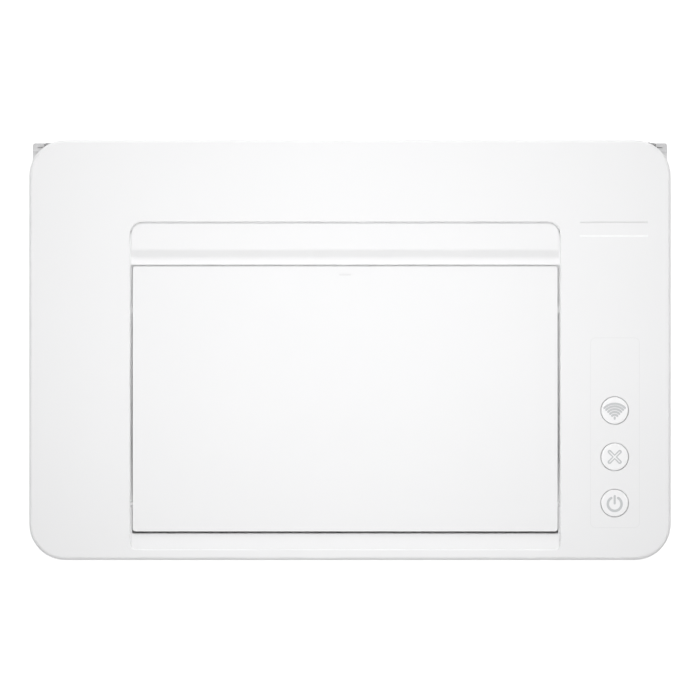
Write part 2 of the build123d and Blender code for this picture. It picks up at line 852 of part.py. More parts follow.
def side_cover(side):
    far = side * (half_width + past)
    rear_edge = side * (case_half - rear_return)
    front_edge = side * (door_half + panel_gap)
    x0, x1 = sorted((far, front_edge))
    kept = block(x0, x1, front - past, 0, 0, height)
    x0, x1 = sorted((far, rear_edge))
    kept += block(x0, x1, 0, rear + past, 0, height)
    cover = casing_shell() & kept
    shelf_top = hinge_z - hinge_relief
    shelf_edge = side * (case_half - corner_radius)
    x0, x1 = sorted((shelf_edge, side * (case_half - bite)))
    cover += block(x0, x1, hinge_y - hinge_relief, case_rear - wall - seat_gap, shelf_top - shelf_thickness,
                   shelf_top)
    x0, x1 = sorted((side * (case_half - shelf_roll), far))
    corner = block(x0, x1, hinge_y, rear + past, shelf_top - shelf_roll, height)
    cover -= corner - y_rod(shelf_roll, side * (case_half - shelf_roll), hinge_y - past, rear + 2 * past,
                            shelf_top - shelf_roll)
    for slot in range(vent_count):
        y = rear - side_vent_inset + (slot - (vent_count - 1) / 2) * vent_pitch
        x0, x1 = sorted((far, side * (case_half - wall - past)))
        cover -= block(x0, x1, y - vent_width / 2, y + vent_width / 2, side_vent_z, side_vent_z + side_vent_height)
    return cover


def rear_cover():
    edge = case_half - rear_return - panel_gap
    inside = case_rear - wall - past
    cover = casing_shell() & block(-edge, edge, 0, rear + past, 0, height)
    for slot in range(vent_count):
        x = path_x + (slot - (vent_count - 1) / 2) * vent_pitch
        cover -= block(x - vent_width / 2, x + vent_width / 2, inside, rear + past, rear_vent_z,
                       rear_vent_z + rear_vent_height)
    cover -= block(inlet_x - inlet_width / 2, inlet_x + inlet_width / 2, inside, rear + past,
                   inlet_z - inlet_height / 2, inlet_z + inlet_height / 2)
    x0, x1 = usb_edges()
    return cover - block(x0 - seat_gap, x1 + seat_gap, inside, rear + past, usb_z - usb_height / 2 - seat_gap,
                         usb_z + usb_height / 2 + seat_gap)


def usb_edges():
    x0 = outer_right + board_standoff + board_thickness
    return x0, x0 + usb_width


def tray_door():
    door = block(-door_half, door_half, case_front, case_front + wall, door_bottom, door_top)
    axis = (door_axis_y, door_axis_z)
    for side in (-1, 1):
        outer_x = side * (door_half - door_ear_width - door_side_gap)
        inner_x = outer_x - side * door_knuckle_width
        x0, x1 = sorted((inner_x, outer_x))
        door += x_rod(door_knuckle_radius, x0, x1, axis)
        door += block(x0, x1, case_front + wall - bite, door_axis_y, door_axis_z - door_web / 2,
                      door_axis_z + door_web / 2)
        door -= x_rod(door_pin_radius + running_gap, x0 - past, x1 + past, axis)
        notch = sorted((outer_x, side * (door_half + past)))
        door -= block(*notch, case_front - past, door_axis_y, door_bottom - past,
                      door_axis_z + door_knuckle_radius + door_notch_gap)
    inner_face = case_front + wall
    lip_y = inner_face + extension_thickness + 2 * seat_gap
    for side in (-1, 1):
        plate_edge = side * (extension_width / 2 + seat_gap)
        x0, x1 = sorted((plate_edge, plate_edge + side * extension_rail))
        door += block(x0, x1, inner_face - bite, lip_y + rail_lip, extension_bottom, extension_top())
        x0, x1 = sorted((plate_edge - side * rail_overlap, plate_edge + side * extension_rail))
        door += block(x0, x1, lip_y, lip_y + rail_lip, extension_bottom, extension_top())
    return door


def extension_top():
    return door_top - extension_drop


def tray_extension():
    y0 = case_front + wall + seat_gap
    plate = block(-extension_width / 2, extension_width / 2, y0, y0 + extension_thickness, extension_bottom,
                  extension_top())
    grip = block(-grip_width / 2, grip_width / 2, y0 - past, y0 + extension_thickness + past,
                 extension_top() - 2 * grip_height, extension_top() - grip_height)
    return plate - grip


def door_pins():
    pins = []
    for side in (-1, 1):
        x0, x1 = sorted((side * door_half, side * (door_half - door_pin_length)))
        pins.append(x_rod(door_pin_radius, x0, x1, (door_axis_y, door_axis_z)))
    return pins


def cover_pins():
    pins = []
    for x_out, toward in ((outer_left, 1), (outer_right, -1)):
        start = x_out - toward * hinge_pin_proud
        x0, x1 = sorted((start, start + toward * hinge_pin_length))
        pins.append(x_rod(hinge_pin_radius, x0, x1, (hinge_y, hinge_z)))
    return pins


def hinge_pins():
    return Compound(children=door_pins() + cover_pins())


def rack(toward):
    """A toothed bar beside the pinion; toward is 1 behind the pinion and -1 in front of it."""
    pitch = math.pi * gear_module
    pitch_line = pinion_y + toward * pinion_radius
    root = pitch_line + toward * tooth_root * gear_module
    tip = pitch_line - toward * tooth_tip * gear_module
    slope = math.tan(math.radians(pressure_angle))
    half_pitch_tooth = pitch / 4 - backlash / 2
    half_tip = half_pitch_tooth - tooth_tip * gear_module * slope
    half_root = half_pitch_tooth + tooth_root * gear_module * slope
    fin_x = path_x - sheet_width / 2 - seat_gap - fin_thickness
    tip_x = path_x + rack_overrun
    count = int((guide_travel + 2 * rack_overrun) / pitch)
    outline = [(fin_x, pitch_line + toward * rack_width), (fin_x, root)]
    for tooth in range(count - 1, -1, -1):
        middle = path_x + pitch / 2 - tooth * pitch + pitch * int(rack_overrun / pitch - 1)
        outline += [(middle - half_root, root), (middle - half_tip, tip), (middle + half_tip, tip),
                    (middle + half_root, root)]
    outline += [(tip_x, root), (tip_x, pitch_line + toward * rack_width)]
    z0 = floor_top + seat_gap
    face = Face(Wire.make_polygon([(x, y, z0) for x, y in outline], close=True))
    return Part() + Solid.extrude(face, Vector(0, 0, rack_thickness))


def left_guide():
    return guide(1)


def right_guide():
    """The right guide is the left one turned half round the pinion's axis."""
    return Pos(path_x, pinion_y, 0) * Rot(0, 0, 180) * Pos(-path_x, -pinion_y, 0) * guide(1)


def guide(toward):
    fin_x = path_x - sheet_width / 2 - seat_gap - fin_thickness
    fin_bottom = tray_floor_z + tray_floor_thickness + seat_gap
    body = rack(toward)
    neck_y = pinion_y + toward * (pinion_radius + rack_width - neck_width / 2)
    body += block(fin_x, fin_x + fin_thickness, neck_y - neck_width / 2, neck_y + neck_width / 2,
                  floor_top + seat_gap, fin_bottom + bite)
    body += block(fin_x, fin_x + fin_thickness, pinion_y - fin_length / 2, pinion_y + fin_length / 2, fin_bottom,
                  fin_bottom + fin_height)
    return body


def guide_pinion():
    points = [(path_x + x, pinion_y + y, floor_top + seat_gap) for x, y in gear_outline(pinion_teeth, 0.0)]
    wheel = Part() + Solid.extrude(Face(Wire.make_polygon(points, close=True)), Vector(0, 0, rack_thickness))
    return wheel - z_rod(pinion_pin_radius + running_gap, path_x, pinion_y, floor_top, tray_floor_z)


def tray_floor():
    plate = block(frame_left, frame_right, frame_front, frame_step_y, tray_floor_z,
                  tray_floor_z + tray_floor_thickness)
    fin_x = path_x - sheet_width / 2 - seat_gap - fin_thickness
    slot_y = pinion_y + pinion_radius + rack_width - neck_width / 2
    slot = block(fin_x - seat_gap, fin_x + fin_thickness + guide_travel + seat_gap,
                 slot_y - neck_width / 2 - seat_gap, slot_y + neck_width / 2 + seat_gap,
                 tray_floor_z - past, tray_floor_z + tray_floor_thickness + past)
    turned = Pos(path_x, pinion_y, 0) * Rot(0, 0, 180) * Pos(-path_x, -pinion_y, 0) * slot
    return plate - slot - turned


def lift_plate():
    left = frame_left + lift_plate_margin
    right = frame_right - lift_plate_margin
    half = lift_plate_thickness / 2
    reach = lift_bracket_gap + lift_bracket_width
    plate = block(left, right, lift_axis_y, lift_plate_rear, lift_axis_z - half, lift_axis_z + half)
    rod = x_rod(lift_rod_radius, left - reach, right + reach, (lift_axis_y, lift_axis_z))
    return plate + rod


def coil_spring(x, y, z0, z1):
    rise = z1 - z0 - 2 * spring_wire
    path = Helix(rise / spring_turns, rise, spring_radius)
    section = Plane(path @ 0, z_dir=path % 0) * Circle(spring_wire)
    return Pos(x, y, z0 + spring_wire) * sweep(section, path)


def lift_springs():
    top = lift_axis_z - lift_plate_thickness / 2
    return Compound(children=[coil_spring(path_x + side * spring_span / 2, lift_plate_rear - spring_inset, floor_top, top - slack)
                              for side in (-1, 1)])


def frame_outline():
    ear = hinge_ear_radius
    return [
        (frame_front, floor_top),
        (frame_rear, floor_top),
        (frame_rear, hinge_z),
        (hinge_y - ear, hinge_z),
        (hinge_y - ear - ear_slope, frame_top),
        (exit_axis[0] + hump_foot, frame_top),
        (exit_axis[0] + hump_crest, exit_idler_axis[1] + hump_rise),
        (exit_axis[0] - hump_crest, exit_idler_axis[1] + hump_rise),
        (exit_axis[0] - hump_foot, frame_top),
        (frame_step_y, frame_top),
        (frame_step_y, frame_low_top + frame_slope_rise),
        (frame_front, frame_low_top),
    ]


def bushed_axes():
    """Axis and journal radius of each shaft that turns in bushes in both frames."""
    axes = [feed_axis, feed_idler_axis, transfer_axis, pickup_axis, exit_axis, exit_idler_axis, pressure_axis]
    return [(axis, shaft_radius) for axis in axes] + [(heat_axis, heat_journal())]


def heat_journal():
    return lamp_radius + lamp_gap + journal_wall


def side_frame(inner_face, toward):
    """A side frame; toward is the way from its inner face to its outer face."""
    outer_face = inner_face + toward * frame_thickness
    x0, x1 = sorted((inner_face, outer_face))
    plate = side_prism(frame_outline(), x0, x1)
    plate += x_rod(hinge_ear_radius, x0, x1, (hinge_y, hinge_z))
    plate -= x_rod(hinge_pin_radius, x0 - past, x1 + past, (hinge_y, hinge_z))
    for axis, radius in bushed_axes():
        plate -= x_rod(radius + bush_wall, x0 - past, x1 + past, axis)
    f0, f1 = sorted((outer_face - toward * bite, outer_face + toward * flange_width))
    plate += block(f0, f1, frame_front, frame_rear - past, floor_top, floor_top + flange_thickness)
    screw_x = outer_face + toward * flange_width / 2
    for y in screw_rows:
        plate -= z_rod(screw_radius + thread_play, screw_x, y, floor_top - past, floor_top + flange_thickness + past)
    return plate


def left_frame():
    plate = side_frame(frame_left, -1) + cartridge_rails()[0]
    for axis in (drum_axis, developer_axis):
        plate -= x_rod(shaft_radius + cartridge_hole_gap, outer_left - past, frame_left + past, axis)
    return plate


def right_frame():
    """The right frame also carries the lamp's bracket."""
    plate = side_frame(frame_right, 1) + cartridge_rails()[1]
    for pillar in board_standoffs():
        plate += pillar
    y, z = heat_axis
    reach = outer_right + lamp_reach
    foot = y - lamp_arm_drop
    low, high = z - lamp_arm_half, z + lamp_arm_half
    plate += block(outer_right - bite, reach, foot, foot + lamp_arm_thickness, low, high)
    arm = block(reach - lamp_tab, reach, foot, y + lamp_arm_overrun, low, high)
    return plate + (arm - x_rod(lamp_radius, reach - lamp_tab - past, reach + past, heat_axis))


def roller_bushes():
    rings = []
    for x0, x1 in ((outer_left - bush_overhang, frame_left + bush_overhang),
                   (frame_right - bush_overhang, outer_right + bush_overhang)):
        for axis, radius in bushed_axes():
            rings.append(x_tube(radius + bush_wall - press_gap, radius + running_gap, x0, x1, axis))
    return Compound(children=rings)


def right_shaft_end():
    return outer_right + bush_overhang + shaft_overhang


def shaft(axis, left_end):
    return x_rod(shaft_radius, left_end, right_shaft_end(), axis)


def photo_drum():
    left, right = cartridge_ends()
    start, end = left + end_plate + seat_gap, right - end_plate - seat_gap
    tube = x_rod(drum_radius, start, end, drum_axis)
    tube -= x_rod(drum_radius - drum_wall, start + drum_flange, end - drum_flange, drum_axis)
    return tube + x_rod(shaft_radius, plane_b - gear_face - short_overhang, right + short_overhang, drum_axis)


def drum_gear():
    """The large gear takes the drive and the small one passes it on; both are one moulding."""
    bore = shaft_radius + press_gap
    large = x_gear(drum_teeth, 0.0, bore, plane_b, drum_axis)
    small = x_gear(drum_small_teeth, 0.0, bore, plane_a, drum_axis)
    hub = x_tube(shaft_radius + hub_wall, bore, plane_b - bite, plane_a - gear_face + bite, drum_axis)
    return large + small + hub


def idler_phase():
    return meshed_phase(drum_teeth, 0.0, drum_axis, idler_small_teeth, idler_axis)


def idler_gear():
    bore = shaft_radius + running_gap
    small = x_gear(idler_small_teeth, idler_phase(), bore, plane_b, idler_axis)
    large = x_gear(idler_large_teeth, 0.0, bore, plane_c, idler_axis)
    hub = x_tube(shaft_radius + idler_hub_wall, bore, plane_c - bite, plane_b - gear_face + bite, idler_axis)
    return small + large + hub


def motor_pinion():
    phase = meshed_phase(idler_large_teeth, 0.0, idler_axis, motor_teeth, motor_axis)
    outline = [(motor_axis[0] + y, motor_axis[1] + z) for y, z in gear_outline(motor_teeth, phase)]
    pinion = side_prism(outline, plane_c - gear_face, plane_c)
    return pinion + x_rod(motor_shaft_radius, motor_front() - motor_shaft_depth, plane_c, motor_axis)


def motor_front():
    return drive_x - drive_plate_thickness


def geared_roller(radius, teeth, plane, axis, phase, roller_ends):
    """A roller on its shaft with its drive gear at the left end."""
    left_end = plane - gear_face
    body = x_rod(radius, *roller_ends, axis) + shaft(axis, left_end)
    gear = x_gear(teeth, phase, shaft_radius + press_gap, plane, axis)
    return Compound(children=[body, gear])


def heat_phase():
    return meshed_phase(drum_teeth, 0.0, drum_axis, heat_teeth, heat_axis)


def transfer_roller():
    phase = meshed_phase(drum_small_teeth, 0.0, drum_axis, transfer_teeth, transfer_axis)
    return geared_roller(transfer_radius, transfer_teeth, plane_a, transfer_axis, phase, (roller_left, roller_right))


def developer_roller():
    left, right = cartridge_ends()
    phase = meshed_phase(drum_small_teeth, 0.0, drum_axis, developer_teeth, developer_axis)
    sleeve = x_rod(developer_radius, left + end_plate + seat_gap, right - end_plate - seat_gap, developer_axis)
    core = x_rod(shaft_radius, plane_a - gear_face, right + short_overhang, developer_axis)
    gear = x_gear(developer_teeth, phase, shaft_radius + press_gap, plane_a, developer_axis)
    return Compound(children=[sleeve + core, gear])


def charge_roller():
    left, right = cartridge_ends()
    body = x_rod(charge_radius, left + end_plate + seat_gap, right - end_plate - seat_gap, charge_axis)
    return body + x_rod(charge_shaft_radius, left + charge_inset, right - charge_inset, charge_axis)


def feed_roller():
    phase = meshed_phase(drum_teeth, 0.0, drum_axis, feed_teeth, feed_axis)
    return geared_roller(feed_radius, feed_teeth, plane_b, feed_axis, phase, (roller_left, roller_right))


def feed_idler():
    body = x_rod(feed_idler_radius, roller_left, roller_right, feed_idler_axis)
    return body + shaft(feed_idler_axis, outer_left - bush_overhang - short_overhang)


def pickup_gear():
    phase = meshed_phase(drum_teeth, 0.0, drum_axis, pickup_teeth, pickup_axis)
    return x_gear(pickup_teeth, phase, shaft_radius + running_gap, plane_b, pickup_axis)


def pickup_roller():
    body = x_rod(pickup_radius, path_x - pickup_width / 2, path_x + pickup_width / 2, pickup_axis)
    return body + shaft(pickup_axis, plane_b - gear_face - short_overhang)


def heat_roller():
    """A hollow roller that turns round the fixed lamp."""
    journal = heat_journal()
    bore = lamp_radius + lamp_gap
    body = x_rod(heat_radius, roller_left, roller_right, heat_axis)
    body -= x_rod(heat_radius - heat_wall, roller_left + heat_wall, roller_right - heat_wall, heat_axis)
    for x0, x1 in ((plane_b - gear_face, roller_left + bite), (roller_right - bite, right_shaft_end())):
        body += x_rod(journal, x0, x1, heat_axis)
    body -= x_rod(bore, plane_b - gear_face - past, right_shaft_end() + past, heat_axis)
    return Compound(children=[body, x_gear(heat_teeth, heat_phase(), journal + press_gap, plane_b, heat_axis)])


def fuser_lamp():
    return x_rod(lamp_radius, motor_front(), outer_right + lamp_reach, heat_axis)


def pressure_roller():
    body = x_rod(pressure_radius, roller_left, roller_right, pressure_axis)
    return body + shaft(pressure_axis, outer_left - bush_overhang - short_overhang)


def exit_spans():
    spans = []
    for index in range(exit_roller_count):
        middle = path_x + (index - (exit_roller_count - 1) / 2) * exit_roller_pitch
        spans.append((middle - exit_roller_width / 2, middle + exit_roller_width / 2))
    return spans


def exit_roller():
    phase = meshed_phase(heat_teeth, heat_phase(), heat_axis, exit_teeth, exit_axis)
    body = shaft(exit_axis, plane_b - gear_face)
    for span in exit_spans():
        body += x_rod(exit_radius, *span, exit_axis)
    return Compound(children=[body, x_gear(exit_teeth, phase, shaft_radius + press_gap, plane_b, exit_axis)])


def exit_idlers():
    body = shaft(exit_idler_axis, outer_left - bush_overhang - short_overhang)
    for span in exit_spans():
        body += x_rod(exit_idler_radius, *span, exit_idler_axis)
    return body


def scanner_deck():
    return block(frame_left, frame_right, deck_front, deck_rear, deck_z, deck_z + deck_thickness)


def scanner_box():
    """Edges of the scanner's housing as x0, x1, y0, y1, z0, z1."""
    z0 = deck_z + deck_thickness
    return (path_x - scanner_width / 2, path_x + scanner_width / 2, deck_front + scanner_margin,
            deck_rear - scanner_margin, z0, z0 + scanner_height)


def scanner_housing():
    x0, x1, y0, y1, z0, z1 = scanner_box()
    housing = block(x0, x1, y0, y1, z0, z1)
    housing -= block(x0 + scanner_wall, x1 - scanner_wall, y0 + scanner_wall, y1 - scanner_wall,
                     z0 + scanner_wall, z1 + past)
    window_z = z1 - scanner_wall - window_height
    half = lens_length / 2 + window_margin
    return housing - block(path_x - half, path_x + half, y1 - scanner_wall - past, y1 + past, window_z,
                           window_z + window_height)


def scanner_lid():
    x0, x1, y0, y1, _, z1 = scanner_box()
    return block(x0, x1, y0, y1, z1, z1 + scanner_wall)


def scan_lens():
    _, _, _, y1, z0, _ = scanner_box()
    bottom = z0 + scanner_wall
    near, far = y1 - lens_inset, y1 - lens_inset + lens_thickness
    lens = block(path_x - lens_length / 2, path_x + lens_length / 2, near, far, bottom, bottom + lens_height)
    return lens & z_rod(lens_arc_radius, path_x, far - lens_arc_radius, 0, height)


def mirror_motor():
    bottom = scanner_box()[4] + scanner_wall
    half = mirror_board_half
    plate = block(path_x - half, path_x + half, mirror_y - half, mirror_y + half, bottom, bottom + board_thickness)
    board_top = bottom + board_thickness
    stator = z_rod(stator_radius, path_x, mirror_y, board_top, board_top + stator_height)
    return plate + stator - z_rod(mirror_shaft_radius + running_gap, path_x, mirror_y, board_top,
                                  board_top + stator_height + past)


def polygon_mirror():
    bottom = scanner_box()[4] + scanner_wall + board_thickness
    hub_z = bottom + stator_height + seat_gap
    mirror_z = hub_z + mirror_hub_height
    wheel = Pos(path_x, mirror_y, mirror_z) * extrude(RegularPolygon(mirror_radius, mirror_sides),
                                                      mirror_thickness)
    hub = z_rod(mirror_hub_radius, path_x, mirror_y, hub_z, mirror_z + mirror_thickness + mirror_hub_cap)
    return wheel + hub + z_rod(mirror_shaft_radius, path_x, mirror_y, bottom + mirror_foot_gap, hub_z + bite)


def laser_unit():
    x0, _, _, _, z0, _ = scanner_box()
    bottom = z0 + scanner_wall
    start = x0 + scanner_wall + laser_inset
    foot = block(start, start + laser_foot_length, mirror_y - laser_foot_width / 2, mirror_y + laser_foot_width / 2,
                 bottom, bottom + laser_foot_height)
    middle = start + laser_foot_length / 2
    return foot + x_rod(laser_barrel_radius, middle, middle + laser_barrel_length,
                        (mirror_y, bottom + laser_axis_height))


def cartridge_ends():
    return frame_left + cartridge_margin, frame_right - cartridge_margin


def cartridge_outline(inset):
    """Side view of the hopper; inset is how far inside its outer face."""
    dev_y, dev_z = developer_axis
    slope = inset * hopper_slant
    return [
        (cartridge_front + inset, cartridge_bottom + inset),
        (dev_y - developer_radius - hopper_step - slope, cartridge_bottom + inset),
        (dev_y - developer_radius - hopper_gap - slope, dev_z + hopper_step + inset),
        (dev_y + hopper_lip - inset, dev_z + developer_radius + hopper_step + inset),
        (fuser_front - fuser_gap - inset, cartridge_top - inset),
        (cartridge_front + inset, cartridge_top - inset),
    ]


def cartridge_shell():
    left, right = cartridge_ends()
    shell = side_prism(cartridge_outline(0), left, right)
    shell -= side_prism(cartridge_outline(cartridge_wall), left + end_plate, right - end_plate)
    dev_y, dev_z = developer_axis
    cheek = [
        (dev_y - cheek_reach, cartridge_bottom),
        (dev_y - cheek_wall, dev_z - developer_radius - hopper_gap),
        (drum_y, drum_z - drum_radius),
        (drum_y + cheek_nose, drum_z - cheek_chamfer),
        (drum_y + cheek_nose, drum_z + cheek_chamfer),
        (charge_axis[0] + cheek_wall, charge_axis[1] + cheek_wall),
        (dev_y, charge_axis[1] + cheek_wall),
        (dev_y - cheek_reach, dev_z + cheek_rise),
    ]
    for x0, x1 in ((left, left + end_plate), (right - end_plate, right)):
        shell += side_prism(cheek, x0, x1)
        for axis in (drum_axis, developer_axis):
            shell -= x_rod(shaft_radius + running_gap, x0 - past, x1 + past, axis)
        shell -= x_rod(charge_shaft_radius + running_gap, x0 - past, x1 + past, charge_axis)
    for x0, x1 in ((frame_left + seat_gap, left + bite), (right - bite, frame_right - seat_gap)):
        shell += block(x0, x1, rail_front + tab_inset, rail_rear - tab_inset, rail_z, rail_z + tab_thickness)
    return shell


def cartridge_rails():
    """The ledges on the two frames that the cartridge's side tabs rest on."""
    reach = cartridge_margin - rail_end_gap
    bottom = rail_z - rail_thickness
    return [block(frame_left - bite, frame_left + reach, rail_front, rail_rear, bottom, rail_z),
            block(frame_right - reach, frame_right + bite, rail_front, rail_rear, bottom, rail_z)]


def separation_pad():
    bottom = pad_bottom()
    return block(path_x - pad_width / 2, path_x + pad_width / 2, stop_wall_y, stop_wall_y + pad_length,
                 bottom, bottom + pad_thickness)


def paper_chute():
    centre = (drum_y - chute_forward, drum_z - chute_drop)
    ring = x_tube(chute_radius + chute_thickness, chute_radius, frame_left, frame_right, centre)
    reach = 2 * chute_radius
    end = polar(*centre, reach, chute_sweep - 90)
    wedge = side_prism([centre, (centre[0], centre[1] - reach), (end[0], centre[1] - reach), end],
                       frame_left, frame_right)
    return ring & wedge


def fuser_frame():
    top = frame_top - fuser_top_gap
    shell = block(frame_left, frame_right, fuser_front, fuser_rear, fuser_bottom, top)
    shell -= block(frame_left - past, frame_right + past, fuser_front + fuser_wall, fuser_rear - fuser_wall,
                   fuser_bottom - past, top - fuser_wall)
    nip_y = heat_axis[0] + heat_radius
    return shell - block(roller_left, roller_right, nip_y - fuser_slot / 2, nip_y + fuser_slot / 2,
                         top - fuser_wall - past, top + past)


def drive_posts():
    near = motor_axis[0] - drive_post_reach
    far = frame_rear - drive_post_inset
    return [(near, pickup_axis[1] + drive_post_rise), (near, motor_axis[1] + drive_post_rise),
            (far, drum_z - drive_post_drop), (far, pressure_axis[1] + drive_post_lift)]


def drive_plate():
    posts = drive_posts()
    y0 = min(y for y, _ in posts) - drive_plate_margin
    y1 = max(y for y, _ in posts) + drive_plate_margin
    z0 = min(z for _, z in posts) - drive_plate_margin
    z1 = max(z for _, z in posts) + drive_plate_margin
    x0 = motor_front()
    plate = block(x0, drive_x, y0, y1, z0, z1)
    for post in posts:
        plate += x_rod(drive_post_radius, drive_x - bite, outer_left, post)
    plate += x_rod(shaft_radius, drive_x - bite, outer_left, idler_axis)
    plate -= x_rod(motor_shaft_radius + drive_shaft_gap, x0 - past, drive_x + past, motor_axis)
    return plate - x_rod(lamp_radius, x0 - past, drive_x + past, heat_axis)


def main_motor():
    x1 = motor_front()
    can = x_rod(motor_radius, x1 - motor_thickness, x1, motor_axis)
    return can - x_rod(motor_shaft_radius + running_gap, x1 - motor_shaft_depth - motor_end_gap, x1 + past,
                       motor_axis)


def main_board():
    x0 = outer_right + board_standoff
    x1 = x0 + board_thickness
    board = block(x0, x1, main_board_front, main_board_rear, main_board_bottom, main_board_top)
    parts = [(processor_size, processor_height, processor_inset, processor_rise),
             (memory_size, memory_height, memory_inset, memory_rise),
             (connector_size, connector_height, connector_inset, connector_rise)]
    for size, tall, inset, rise in parts:
        y, z = main_board_rear - inset, main_board_bottom + rise
        board += block(x1 - chip_foot, x1 + tall, y - size / 2, y + size / 2, z - size / 2, z + size / 2)
    return board


def board_standoffs():
    """Pillars on the right frame that hold the main board."""
    near, far = main_board_front + standoff_inset, main_board_rear - standoff_inset
    low, high = main_board_bottom + standoff_inset, main_board_top - standoff_inset
    spots = [(near, low), (near, high), (far, usb_z - standoff_inset), (far, high)]
    return [x_rod(standoff_radius, outer_right - bite, outer_right + board_standoff, spot) for spot in spots]


def usb_port():
    x0, x1 = usb_edges()
    low, high = usb_z - usb_height / 2, usb_z + usb_height / 2
    mouth = case_rear - seat_gap
    shell = block(x0, x1, main_board_rear - usb_overlap, mouth, low, high)
    return shell - block(x0 + usb_side_wall, x1 - usb_side_wall, mouth - usb_mouth, mouth + past,
                         low + usb_top_wall, high - usb_top_wall)


def power_board_edges():
    x0 = outer_right + flange_width + power_board_gap
    y1 = case_rear - wall - inlet_depth - power_board_gap
    return x0, x0 + power_board_width, y1 - power_board_length, y1


def power_board_level():
    return floor_top + board_standoff


def power_board():
    x0, x1, y0, y1 = power_board_edges()
    z0 = power_board_level()
    z1 = z0 + board_thickness
    board = block(x0, x1, y0, y1, z0, z1)
    foot = z1 - chip_foot
    transformer = block(x0 + part_inset, x1 - part_inset, y0 + transformer_front,
                        y0 + transformer_front + transformer_length, foot, z1 + transformer_height)
    capacitor = z_rod(capacitor_radius, (x0 + x1) / 2, y0 + capacitor_middle, foot, z1 + capacitor_height)
    sink = block(x0 + part_inset, x0 + part_inset + heat_sink_thickness, y0 + heat_sink_front, y1 - part_inset,
                 foot, z1 + heat_sink_height)
    return board + transformer + capacitor + sink


def power_board_pillars():
    x0, x1, y0, y1 = power_board_edges()
    inset = power_pillar_inset
    return [z_rod(standoff_radius, x, y, floor_top - bite, power_board_level())
            for x in (x0 + inset, x1 - inset) for y in (y0 + inset, y1 - inset)]


def power_inlet():
    x0, x1 = inlet_x - inlet_width / 2, inlet_x + inlet_width / 2
    z0, z1 = inlet_z - inlet_height / 2, inlet_z + inlet_height / 2
    face = case_rear + inlet_bezel_thickness
    body = block(x0, x1, case_rear - wall - inlet_depth, face, z0, z1)
    body += block(x0 - inlet_bezel, x1 + inlet_bezel, case_rear, face, z0 - inlet_bezel, z1 + inlet_bezel)
    return body - block(x0 + inlet_side_wall, x1 - inlet_side_wall, case_rear - inlet_mouth, face + past,
                        z0 + inlet_top_wall, z1 - inlet_top_wall)


def build():
    """Every node of the printer, by name."""
    nodes = {
        "base_frame": base_frame(),
        "rubber_feet": rubber_feet(),
        "frame_screws": frame_screws(),
        "left_cover": side_cover(-1),
        "right_cover": side_cover(1),
        "rear_cover": rear_cover(),
        "left_frame": left_frame(),
        "right_frame": right_frame(),
        "roller_bushes": roller_bushes(),
        "hinge_pins": hinge_pins(),
        "tray_floor": tray_floor(),
        "lift_plate": lift_plate(),
        "lift_springs": lift_springs(),
        "tray_door": tray_door(),
        "tray_extension": tray_extension(),
        "left_guide": left_guide(),
        "right_guide": right_guide(),
        "guide_pinion": guide_pinion(),
        "top_cover": top_cover(),
        "output_tray": output_tray(),
        "exit_lip": exit_lip(),
        "output_flap": output_flap(),
        "control_board": control_board(),
        "button_switches": button_switches(),
        "scanner_deck": scanner_deck(),
        "scanner_housing": scanner_housing(),
        "scanner_lid": scanner_lid(),
        "scan_lens": scan_lens(),
        "mirror_motor": mirror_motor(),
        "polygon_mirror": polygon_mirror(),
        "laser_unit": laser_unit(),
        "cartridge_shell": cartridge_shell(),
        "photo_drum": photo_drum(),
        "drum_gear": drum_gear(),
        "developer_roller": developer_roller(),
        "charge_roller": charge_roller(),
        "transfer_roller": transfer_roller(),
        "separation_pad": separation_pad(),
        "pickup_gear": pickup_gear(),
        "pickup_roller": pickup_roller(),
        "feed_roller": feed_roller(),
        "feed_idler": feed_idler(),
        "paper_chute": paper_chute(),
        "fuser_frame": fuser_frame(),
        "fuser_lamp": fuser_lamp(),
        "heat_roller": heat_roller(),
        "pressure_roller": pressure_roller(),
        "exit_roller": exit_roller(),
        "exit_idlers": exit_idlers(),
        "drive_plate": drive_plate(),
        "main_motor": main_motor(),
        "motor_pinion": motor_pinion(),
        "idler_gear": idler_gear(),
        "main_board": main_board(),
        "usb_port": usb_port(),
        "power_board": power_board(),
        "power_inlet": power_inlet(),
    }
    for name, y in button_rows.items():
        nodes[name] = button(y)
    return nodes


os.makedirs("parts", exist_ok=True)
for node, shape in build().items():
    save(node, shape)
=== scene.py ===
import json
import math
import bmesh
import bpy
import numpy as np
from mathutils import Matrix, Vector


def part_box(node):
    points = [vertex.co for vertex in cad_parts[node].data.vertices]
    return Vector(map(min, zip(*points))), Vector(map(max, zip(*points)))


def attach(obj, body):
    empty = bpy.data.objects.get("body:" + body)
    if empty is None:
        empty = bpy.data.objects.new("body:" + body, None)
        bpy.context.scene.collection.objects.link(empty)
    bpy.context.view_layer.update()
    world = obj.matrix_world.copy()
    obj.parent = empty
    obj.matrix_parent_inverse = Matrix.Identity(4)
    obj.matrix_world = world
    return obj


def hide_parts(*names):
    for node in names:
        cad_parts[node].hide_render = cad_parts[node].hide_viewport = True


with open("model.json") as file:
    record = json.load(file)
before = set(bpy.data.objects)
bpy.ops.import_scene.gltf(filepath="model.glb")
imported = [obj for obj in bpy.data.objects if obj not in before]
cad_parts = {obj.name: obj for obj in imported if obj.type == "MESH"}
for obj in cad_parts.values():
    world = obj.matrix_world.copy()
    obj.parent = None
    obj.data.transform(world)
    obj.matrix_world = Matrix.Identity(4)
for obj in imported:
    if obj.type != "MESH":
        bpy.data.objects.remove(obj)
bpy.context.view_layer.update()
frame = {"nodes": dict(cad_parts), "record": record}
nodes = frame["nodes"]
print("frame loaded:", len(nodes), "nodes")

mm = 0.001
coverTop = 178.0  # the cover's upper face, in mm

